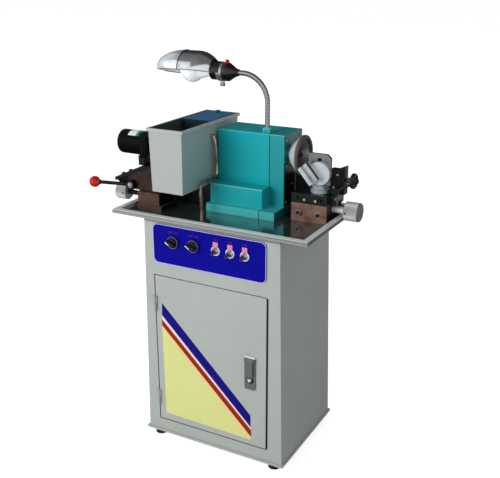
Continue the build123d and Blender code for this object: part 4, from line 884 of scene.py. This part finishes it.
# Geared motor of the left head
gear = dict(left=-209, right=-188.5, y=-80, z=750.2, half=30, soft=2.5, can=29, canEnd=-277.2, endScrews=14,
            endHead=[(0, 2.2), (0.8, 2.0), (0.8, 0)], housingScrews=25, leftHead=(3.2, 3), rightHead=(3.2, 2))
run, can = gear["left"] - gear["canEnd"], gear["can"]
bm = bmesh.new()
lathe(bm, at(gear["left"], gear["y"], gear["z"]), leftward, [
    (-1, 0), (-1, 27), (0.5, 27), (0.6, can), (run - 14, can), (run - 13.6, 28.5), (run - 12.8, 28.5),
    (run - 12.4, can), (run - 4.5, can), (run - 2.4, 28.3), (run - 0.8, 26.6), (run, 24), (run, 14),
    (run - 0.6, 13.4), (run - 0.6, 8), (run, 7.4), (run, 0),
], 72)
fourCorners = [(a, b) for a in (-1, 1) for b in (-1, 1)]
for a, b in fourCorners:
    spot = at(gear["canEnd"] + 0.8, gear["y"] + a * gear["endScrews"], gear["z"] + b * gear["endScrews"])
    lathe(bm, spot, leftward, gear["endHead"], 12, 1)
keep("geared_motor_shell", bm, "left_carriage", ["canBlack", "darkSteel"], ["gear_motor"], 35)
bm = bmesh.new()  # gear housing on the end of the can
slab(bm, (gear["left"], gear["right"]), (gear["y"] - gear["half"], gear["y"] + gear["half"]),
     (gear["z"] - gear["half"], gear["z"] + gear["half"]), gear["soft"])
for a, b in fourCorners:
    y, z = gear["y"] + a * gear["housingScrews"], gear["z"] + b * gear["housingScrews"]
    capScrew(bm, at(gear["left"], y, z), leftward, *gear["leftHead"], 1)
    capScrew(bm, at(gear["right"], y, z), rightward, *gear["rightHead"], 1)
keep("gear_housing", bm, "left_carriage", ["canBlack", "darkSteel"], (), 35)

label = dict(white=(-226, -248), green=(-212, -226), turn=(44, 96), lifts=(29.05, 29.2))
bm = bmesh.new()  # plain bands wrapped round the can, by degrees from the front
for sheet, band in enumerate((label["white"], label["green"])):
    rows = [[bm.verts.new(at(x, gear["y"] - lift * math.cos(turn), gear["z"] + lift * math.sin(turn)))
             for turn in arc(*label["turn"], 18)] for x in band for lift in label["lifts"]]
    for low, high in ((1, 3), (0, 1), (2, 3), (0, 2)):
        bridge(bm, rows[low], rows[high], sheet, False)
    for k in (0, -1):
        bm.faces.new([rows[i][k] for i in (0, 1, 3, 2)]).material_index = sheet
keep("motor_band", bm, "left_carriage", ["whiteEnamel", "greenFilm"])

arm = dict(nuts=[(-284, 666.4), (-262, 676.3)], y=-78, rise=24.4, web=-84, webThick=9,
           gusset=[(-300, 650.4), (-261, 668), (-261, 640), (-268, 638), (-292, 645)],
           hub=(-247, -103.2, 647.2), nut=(4.2, 3.6), hubNut=(5, 4.2))
rise = math.radians(arm["rise"])
bm = bmesh.new()
for x, z in arm["nuts"]:
    hexBolt(bm, at(x, arm["y"], z), Vector((-math.sin(rise), 0, math.cos(rise))), *arm["nut"])
prism(bm, [at(x, arm["web"], z) for x, z in arm["gusset"]], ahead(-arm["webThick"]))  # web under the arm
keep("arm_nuts", bm, "left_carriage", "blackOxide")
bm = bmesh.new()
hexBolt(bm, at(*arm["hub"]), forward, *arm["hubNut"])
keep("lever_nut", bm, "feed_lever", "zincPlate")
print("left head made")

# Printed film on the door: cabinet X and height of each corner
doorFace, filmThick = -144.02, 0.18
doorFilm = {
    "blueFilm": [(-138.5, 373), (-140, 340), (107, 96), (107, 128)],
    "whiteFilm": [(-140, 340), (-140, 329), (108, 88), (107, 96)],
    "redFilm": [(-140, 329), (-141, 312.5), (108.5, 68.5), (108.5, 88)],
    "salmonFilm": [(-141, 312.5), (-140.5, 305.5), (107.5, 62), (108.5, 68.5)],
    "yellowFilm": [(-140.5, 305.5), (-138, 66), (106.5, 60.5), (107.5, 62)],
}
for name, corners in doorFilm.items():
    bm = bmesh.new()
    prism(bm, [at(x, doorFace, z) for x, z in corners], ahead(filmThick))
    keep("door_" + name, bm, "door", name)

panel = dict(x=(-155.6, 148), z=(479.2, 578.2), radius=14.5, back=-144.1, face=-146.56, rim=4,
             line=(0.3, 1.8), lineFace=-146.59, lineThick=0.15)


def panelOutline(inset, y):
    (x0, x1), (z0, z1), radius = panel["x"], panel["z"], panel["radius"]
    corners = ((x1 - radius, z1 - radius, 0), (x0 + radius, z1 - radius, 90), (x0 + radius, z0 + radius, 180),
               (x1 - radius, z0 + radius, 270))
    return [at(x + dx, y, z + dz) for x, z, first in corners
            for dx, dz in circle(radius - inset, arc(first, first + 90, 8))]


def panelRing(bm, outside, inside, y, depth):  # a flat ring between two insets of the panel's outline
    lines = [panelOutline(inset, y) for inset in (outside, inside)]
    lower = [[bm.verts.new(point) for point in line] for line in lines]
    upper = [[bm.verts.new(point + ahead(depth)) for point in line] for line in lines]
    for a, b in ((upper[0], upper[1]), (lower[1], lower[0]), (lower[0], upper[0]), (upper[1], lower[1])):
        bridge(bm, a, b)


bm = bmesh.new()
panelRing(bm, 0, panel["rim"], panel["back"], panel["back"] - panel["face"])
keep("panel_rim", bm, "frame", "panelPaint")
bm = bmesh.new()
panelRing(bm, *panel["line"], panel["lineFace"], panel["lineThick"])
keep("panel_border", bm, "frame", "lilacFilm")

toggles = dict(x=(17.4, 55.4, 93.4), z=536.5, face=-146.55, disc=11.4, discTurn=(-236, 56), half=6.5,
               tab=(7.2, 21), thick=(0.7, 0.8), nutFace=-150.9,
               nut=[(0, 6.05), (0, 7.6), (1.8, 7.6), (2.2, 7.2), (2.2, 6.05)])
bm = bmesh.new()
for x in toggles["x"]:
    (low, high), half, z = toggles["tab"], toggles["half"], toggles["z"]
    disc = circle(toggles["disc"], arc(*toggles["discTurn"], 32))
    tab = [(-half, low), (half, low), (half, high), (-half, high)]
    for sheet, (outline, thick) in enumerate(zip((disc, tab), toggles["thick"])):
        prism(bm, [at(x + dx, toggles["face"], z + dz) for dx, dz in outline], ahead(thick), sheet)
    lathe(bm, at(x, toggles["nutFace"], z), forward, toggles["nut"], 36, 2)
keep("toggle_legends", bm, "frame", ["whiteEnamel", "pinkFilm", "chromePlate"])

ink = dict(size=7, thick=0.00008, face=-146.63, selectorZ=559.5, toggleZ=561)


def inkMark(name, words, x, z):
    data = bpy.data.curves.new(name, "FONT")
    data.body, data.size, data.extrude = words, ink["size"] / 1000, ink["thick"]
    data.align_x = "CENTER"
    text = bpy.data.objects.new(name + "_draft", data)
    scene.collection.objects.link(text)
    bpy.context.view_layer.update()
    mesh = bpy.data.meshes.new_from_object(text.evaluated_get(bpy.context.evaluated_depsgraph_get()))
    bpy.data.objects.remove(text)
    mesh.transform(Matrix.Translation(at(x, ink["face"], z)) @ Matrix.Rotation(math.pi / 2, 4, "X"))
    mesh.materials.clear()
    mesh.materials.append(finishes["redInk"].material)
    piece = bpy.data.objects.new(name, mesh)
    scene.collection.objects.link(piece)
    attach(piece, "frame")


selectors = dict(x=(-96.7, -41.2), z=538.8, bezel=-152.4, grip=-167.6, mark=((-10.4, 4.9), (-0.6, -2.1)),
                 wide=2.1, thick=0.4,
                 ring=[(0, 13.2), (0, 15.1), (0.7, 15.1), (1.2, 14.5), (1.0, 13.2), (0, 13.2)])
for side, x in zip(("left", "right"), selectors["x"]):
    inkMark("mark_selector_" + side, "OFF  ON", x, ink["selectorZ"])
for side, x in zip(("left", "middle", "right"), toggles["x"]):
    inkMark("mark_toggle_" + side, "ON", x, ink["toggleZ"])
bm = bmesh.new()
for x in selectors["x"]:
    lathe(bm, at(x, selectors["bezel"], selectors["z"]), forward, selectors["ring"], 48)
keep("selector_rings", bm, "frame", "bezelMetal")
(x0, z0), (x1, z1) = selectors["mark"]
half = selectors["wide"] / 2 / math.hypot(x1 - x0, z1 - z0)
acrossX, acrossZ = -(z1 - z0) * half, (x1 - x0) * half
mark = [(x0 + acrossX, z0 + acrossZ), (x0 - acrossX, z0 - acrossZ), (x1 - acrossX, z1 - acrossZ),
        (x1 + acrossX, z1 + acrossZ)]
for side, x in zip(("left", "right"), selectors["x"]):
    bm = bmesh.new()
    prism(bm, [at(x + dx, selectors["grip"], selectors["z"] + dz) for dx, dz in mark],
          ahead(selectors["thick"]))
    keep("pointer_mark_" + side, bm, "selector_" + side, "whiteEnamel")
print("panel and film made")

# Dark sheets beside the wheel, behind the vise and under the tank, put there as painted shade
sheetSoft = 0.4
wheelShade = dict(face=111, thick=1.2, y=(15.5, 110), z=(612, 716), hole=(49.4, 734, 25), cut=5, nick=2,
               screws=[(22, 709), (104, 709), (22, 622), (104, 622), (53.7, 660.8)], head=(3.2, 1.8))
(y0, y1), (z0, z1) = wheelShade["y"], wheelShade["z"]
cy, cz, radius = wheelShade["hole"]
span = math.acos((cz - z1) / radius)
cut, nick = wheelShade["cut"], wheelShade["nick"]
outline = [(y0, z0), (y1, z0), (y1, z1 - cut), (y1 - cut, z1)]
outline += [(cy + radius * math.sin(turn), cz - radius * math.cos(turn)) for turn in even(span, -span, 16)]
outline += [(y0 + nick, z1), (y0, z1 - nick)]
bm = bmesh.new()
prism(bm, [at(wheelShade["face"], y, z) for y, z in outline], Vector((wheelShade["thick"] / 1000, 0, 0)))
for y, z in wheelShade["screws"]:
    capScrew(bm, at(wheelShade["face"] + wheelShade["thick"], y, z), rightward, *wheelShade["head"], 1)
keep("wheel_shade_sheet", bm, "frame", ["guardBlack", "groundSteel"])

viseShade = dict(back=76.5, face=74.9, flange=(113.5, 232), fold=85.5, foot=(603, 604.6),
              outline=[(113.5, 603), (232, 603), (232, 690), (222, 700), (200, 700), (196, 732), (154, 732),
                       (150, 683), (113.5, 683)],
              screws=[(122, 612), (122, 674), (224, 612), (160, 720)], head=(2.8, 1.6))
bm = bmesh.new()
prism(bm, [at(x, viseShade["back"], z) for x, z in viseShade["outline"]], ahead(viseShade["back"] - viseShade["face"]))
slab(bm, viseShade["flange"], (viseShade["face"], viseShade["fold"]), viseShade["foot"], sheetSoft)  # flange on the tray
for x, z in viseShade["screws"]:
    capScrew(bm, at(x, viseShade["face"], z), forward, *viseShade["head"], 1)
keep("vise_shade_sheet", bm, "frame", ["guardBlack", "darkSteel"])

underTankShade = dict(x=(-226, -75), y=(-3.8, -2.3), z=(591.2, 649), fold=((-226, -224.5), (-3.8, 6.7)),
             screws=[(-216, 600), (-216, 640), (-120, 640)], head=(2.6, 1.5))
bm = bmesh.new()
slab(bm, underTankShade["x"], underTankShade["y"], underTankShade["z"], sheetSoft)
slab(bm, *underTankShade["fold"], underTankShade["z"], sheetSoft)
for x, z in underTankShade["screws"]:
    capScrew(bm, at(x, underTankShade["y"][0], z), forward, *underTankShade["head"], 1)
keep("tank_shade_sheet", bm, "frame", ["guardBlack", "darkSteel"])

# Folded strips round the edges of the tray and the tank
hems = {
    "tray": dict(x=(-255.2, 255.2), y=(-168.2, 140.2), z=(593.6, 602.6), looks=["hemSheet", "hemWall"],
                 slot="tray_paint"),
    "tank": dict(x=(-167.4, -69), y=(-140.2, 129.2), z=(794.6, 801.2), looks=["greyPaint", "greyPaint"],
                 slot="tank_grey"),
}
hemThick, hemSoft = 1.7, 0.45
for name, hem in hems.items():
    (x0, x1), (y0, y1), (z0, z1) = hem["x"], hem["y"], hem["z"]
    bm = bmesh.new()
    loops = []
    for d, z in ((0, z0), (0, z1), (hemThick, z1), (hemThick, z0)):
        corners = ((x0 + d, y0 + d), (x1 - d, y0 + d), (x1 - d, y1 - d), (x0 + d, y1 - d))
        loops.append([bm.verts.new(at(x, y, z)) for x, y in corners])
    faces = bridge(bm, loops[0], loops[1], 1)  # the outer wall, in painted shade on the tray
    for low, high in ((1, 2), (2, 3), (3, 0)):
        faces += bridge(bm, loops[low], loops[high])
    rounded(bm, faces, hemSoft)
    keep(name + "_hem", bm, "frame", hem["looks"])

pipe = dict(radius=3.9, smooth=8, path=[
    (-75, -6.6, 768.6), (-69, -6, 768.8), (-64.4, -5.6, 763.5), (-62.2, -5.2, 750), (-61.2, -4, 733.9),
    (-61.2, -1.6, 705.9), (-61.2, -1.2, 685), (-61.2, -3.4, 674.4), (-61.2, -11, 669.2), (-61.2, -24, 668),
    (-61.2, -48, 668.2), (-61.2, -65, 668), (-61.2, -74.6, 665), (-61.2, -78, 657), (-61.2, -78.2, 640),
    (-61.2, -76.8, 620), (-61.2, -75.4, 591.2),
])
bends = [at(*spot) for spot in pipe["path"]]
bends = [bends[0] * 2 - bends[1], *bends, bends[-1] * 2 - bends[-2]]
pipeLine = []
for before, here, after, beyond in zip(bends, bends[1:], bends[2:], bends[3:]):  # a curve through the bends
    for t in even(0, 1, pipe["smooth"])[:-1]:
        square = (before * 2 - here * 5 + after * 4 - beyond) * t ** 2
        cube = (here * 3 - before - after * 3 + beyond) * t ** 3
        pipeLine.append((here * 2 + (after - before) * t + square + cube) / 2)
pipeLine.append(bends[-2])
bm = bmesh.new()  # bent copper pipe, from the tank's wall to the tray
sweep(bm, pipeLine, pipe["radius"], 20)
keep("bent_pipe", bm, "frame", "copperTube", ["coolant_pipe"], 60)

gasket = dict(x=(72.15, 73.85), proud=0.25, sunk=1, gap=1.2, clear=1.6, soft=0.2, front=13.4, back=112.4,
              top=782.6, step=611, foot=591.3, near=-40.5)
proud, sunk, gap, clear = (gasket[key] for key in ("proud", "sunk", "gap", "clear"))
front, back, top, step, foot, near = (gasket[key] for key in ("front", "back", "top", "step", "foot", "near"))
bm = bmesh.new()  # seam of the headstock
for y, z in (
    ((front - proud, front + sunk), (step, top - gap)),
    ((front + clear, back - clear), (top - sunk, top + proud)),
    ((back - sunk, back + proud), (step, top - gap)),
    ((near - proud, near + sunk), (foot, step - gap)),
    ((near + clear, front), (step - sunk, step + proud)),
):
    slab(bm, gasket["x"], y, z, gasket["soft"])
keep("headstock_gasket", bm, "frame", "guardBlack")
print("guards made")

# Small fasteners, gathered by the body that they ride on
bolts = dict(riser=[(157.7, 611), (208, 611)], face=-5, washer=[(0, 7.2), (1.2, 7.2), (1.6, 6.8), (1.6, 0)],
             washerIn=0.3, headOut=1.2, head=(5.2, 2.6), socket=[(1.0, 2.5), (1.2, 2.5), (1.2, 0)],
             stand=[(24, 770), (101, 770)], standFace=111, standHead=(3.4, 2.0))
bm = bmesh.new()
for x, z in bolts["riser"]:
    head = at(x, bolts["face"] - bolts["headOut"], z)
    lathe(bm, at(x, bolts["face"] + bolts["washerIn"], z), forward, bolts["washer"], 32, 1)
    capScrew(bm, head, forward, *bolts["head"])
    lathe(bm, head, forward, bolts["socket"], 6, 2)
for y, z in bolts["stand"]:
    capScrew(bm, at(bolts["standFace"], y, z), rightward, *bolts["standHead"], 1)
keep("machine_screws", bm, "frame", ["darkSteel", "zincPlate", "blackOxide"])

slots = dict(spots=[(169.5, 643.5, 1), (204, 643.5, -1)], face=-5, end=3.3, half=4.2, sink=0.05,
             litEdge=(0.9, 0.18), lift=0.25, bolt=[(0, 3.5), (1.6, 3.5), (2.2, 2.9), (2.2, 0)],
             endScrews=[(4, 652), (20, 652)], endFace=245, endHead=(2.6, 1.6))
bm = bmesh.new()
for x, z, way in slots["spots"]:
    for grow, lift, sheet in ((*slots["litEdge"], 3), (0, slots["lift"], 1)):  # the edge painted lighter as a highlight, then the slot
        outline = []
        for end, first in ((1, -90), (-1, 90)):
            for dx, dz in circle(slots["half"] + grow, arc(first, first + 180, 10)):
                outline.append(at(x + end * slots["end"] + dx, slots["face"] + slots["sink"], z + dz))
        prism(bm, outline, ahead(lift), sheet)
    lathe(bm, at(x + way * slots["end"], slots["face"], z), forward, slots["bolt"], 6)
for y, z in slots["endScrews"]:
    capScrew(bm, at(slots["endFace"], y, z), rightward, *slots["endHead"], 2)
keep("slot_bolts", bm, "right_slide", ["brassBolt", "blackOxide", "zincPlate", "darkSteel"])

bore = dict(spot=(199.1, 17.05, 733.9), profile=[(0, 6.0), (0.3, 5.8), (0.35, 5.2), (0.12, 4.6), (0.12, 0)])
bm = bmesh.new()  # dark disc in the threaded bore of the upright plate, painted shade in the hole
lathe(bm, at(*bore["spot"]), forward, bore["profile"], 32)
keep("plate_bore_shade", bm, "swivel", "canBlack")

ribs = dict(x=(231, 239.5, 248), wide=3.2, y=(15.4, 17.3), low=666, high=710, climb=3,
            screws=[(244.2, 706), (235.6, 676)], screwFace=17, head=(2.4, 2), soft=0.5)
bm = bmesh.new()
for i, x in enumerate(ribs["x"]):
    slab(bm, (x, x + ribs["wide"]), ribs["y"], (ribs["low"], ribs["high"] + ribs["climb"] * i), ribs["soft"])
for x, z in ribs["screws"]:
    capScrew(bm, at(x, ribs["screwFace"], z), forward, *ribs["head"], 1)
keep("bracket_ribs", bm, "swivel", ["blackOxide", "zincPlate"])

lockTrim = dict(lip=((92.2, 120.8), (-148.6, -144.4), (284.1, 288.1), 0.7), x=106.5, z=226.7, face=-147.05,
                ring=[(0, 8.2), (0, 10.2), (0.9, 9.7), (0.9, 8.7), (0, 8.2)], capFace=-150.9,
                cap=[(0, 3.6), (0.5, 3.5), (0.9, 2.4), (1.0, 0)])
bm = bmesh.new()
slab(bm, *lockTrim["lip"])  # lip over the plate, painted near white as a highlight
lathe(bm, at(lockTrim["x"], lockTrim["face"], lockTrim["z"]), forward, lockTrim["ring"], 40, 1)
keep("lock_trim", bm, "door", ["lipMetal", "darkSteel"])
# the lock button's cap, in metal painted near white as a highlight
bm = bmesh.new()
lathe(bm, at(lockTrim["x"], lockTrim["capFace"], lockTrim["z"]), forward, lockTrim["cap"], 32)
keep("button_cap", bm, "lock_button", "lipMetal")

seal = dict(x=(148.7, 153.2), y=(-144.35, -143.7), z=(47, 443), soft=0.25)
bm = bmesh.new()
slab(bm, **seal)
keep("door_seal", bm, "frame", "footRubber")
print("fasteners made")

# Stage: pale floor, soft light from the front left, and the camera
stage = dict(lens=56.68, sensor=36, eye=(0.920, -1.587, 1.1675), back=(0.44477, -0.83121, 0.33358),
             aim=(0, 0, 0.55), floor=tint(236, 236, 236), floorSize=14, floorDrop=0.0006, lift=0.72,
             far=(1.6, 3.6, 0.12, 0.95), ambient=0.54, overhead=0.14)
lights = {
    "key": dict(spot=(-1.15, -2.5, 1.35), size=1.5, power=52),
    "fill": dict(spot=(2.2, -1.2, 1.6), size=1.6, power=3),
}
bm = bmesh.new()
bmesh.ops.create_grid(bm, x_segments=2, y_segments=2, size=stage["floorSize"])
bmesh.ops.translate(bm, verts=bm.verts, vec=(0, 0, -stage["floorDrop"]))
mesh = bpy.data.meshes.new("floor")
bm.to_mesh(mesh)
bm.free()
floorMaterial = bpy.data.materials.new("floorPaper")
floorMaterial.use_nodes = True
paper = Web(floorMaterial.node_tree)
cameraRay = paper.add("ShaderNodeLightPath", out="Is Camera Ray")
mirrorRay = paper.add("ShaderNodeLightPath", out="Is Glossy Ray")
matte = paper.add("ShaderNodeBsdfDiffuse", None, {"Color": stage["floor"]})
glow = paper.add("ShaderNodeEmission", None, {"Strength": cameraRay * stage["lift"]})
paperLook = paper.add("ShaderNodeAddShader", None, {0: matte, 1: glow})
where = paper.add("ShaderNodeTexCoord", out=3)
reach = paper.add("ShaderNodeVectorMath", {"operation": "LENGTH"}, {0: where}, 1)
mirrored = paper.add("ShaderNodeEmission", None, {"Strength": paper.band(reach, *stage["far"])})
both = paper.add("ShaderNodeMixShader", None, {0: mirrorRay, 1: paperLook, 2: mirrored})
paper.put(paper.tree.nodes["Material Output"], "Surface", both)
mesh.materials.append(floorMaterial)
floor = bpy.data.objects.new("floor", mesh)
scene.collection.objects.link(floor)
floor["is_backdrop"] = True

# What metal and glass mirror: each patch has its way, its band and its strength
studio = dict(base=0.17, behind=0.13, behindFade=(0.15, 0.6), front=(-0.55, -0.8, 0.24), frontBand=0.9,
              frontFade=(0.1, 0.75), deepFade=(-0.5, -0.05), sideFade=(-1.0, -0.86), topFade=(0.22, 0.46),
              slant=0.34, slantFrom=-0.5, topLift=0.17, overheadFade=(0.1, 0.9),
              patches=[((-0.55, -0.8, 0.24), 0.3, 0.85, 0.1), ((-0.74, -0.54, 0.40), 0.925, 0.962, 0.9),
                       ((-0.92, 0.16, 0.36), 0.85, 0.93, 0.45), ((-0.66, 0.70, 0.27), 0.984, 0.996, 0.5)])
world = bpy.data.worlds.new("studio")
scene.world = world
world.use_nodes = True
sky = Web(world.node_tree)
toward = sky.add("ShaderNodeTexCoord", out=0)
side, deep, height = (sky.split(toward, letter) for letter in "XYZ")
facing = sky.band(sky.dot(toward, studio["front"]), *studio["frontFade"])
facing = facing.most(1 - sky.band(deep, *studio["deepFade"])) * sky.band(side, *studio["sideFade"])
above = height - side.most(studio["slantFrom"]) * studio["slant"] - studio["topLift"]
lower = 1 - sky.band(above, *studio["topFade"])
shell = studio["base"] - sky.band(deep, *studio["behindFade"]) * studio["behind"]
shell = shell + facing * lower * studio["frontBand"]
for way, low, high, strength in studio["patches"]:
    shell = shell + sky.band(sky.dot(toward, way), low, high) * strength
ambient = stage["ambient"] - sky.band(height, *studio["overheadFade"]) * stage["overhead"]
cameraRay, glossyRay, clearRay = (sky.add("ShaderNodeLightPath", out="Is %s Ray" % kind)
                                  for kind in ("Camera", "Glossy", "Transmission"))
mirrorRay = glossyRay.most(clearRay)
strength = cameraRay + (1 - cameraRay) * (mirrorRay * shell + (1 - mirrorRay) * ambient)
sky.put(sky.tree.nodes["Background"], "Strength", strength)
sky.put(sky.tree.nodes["Background"], "Color", (1, 1, 1, 1))

for name, look in lights.items():
    data = bpy.data.lights.new(name, "AREA")
    data.energy, data.size = look["power"], look["size"]
    lightPiece = bpy.data.objects.new(name, data)
    lightPiece.location = look["spot"]
    lightPiece.rotation_mode = "QUATERNION"
    lightPiece.rotation_quaternion = (Vector(stage["aim"]) - lightPiece.location).to_track_quat("-Z", "Y")
    lightPiece.visible_glossy = False
    scene.collection.objects.link(lightPiece)

cameraData = bpy.data.cameras.new("camera")
cameraData.lens, cameraData.sensor_width = stage["lens"], stage["sensor"]
camera = bpy.data.objects.new("camera", cameraData)
camera.location = stage["eye"]
camera.rotation_mode = "QUATERNION"
camera.rotation_quaternion = (-Vector(stage["back"])).to_track_quat("-Z", "Y")
scene.collection.objects.link(camera)
scene.camera = camera
scene.view_settings.view_transform = "Standard"
print("stage set")

low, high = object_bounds()
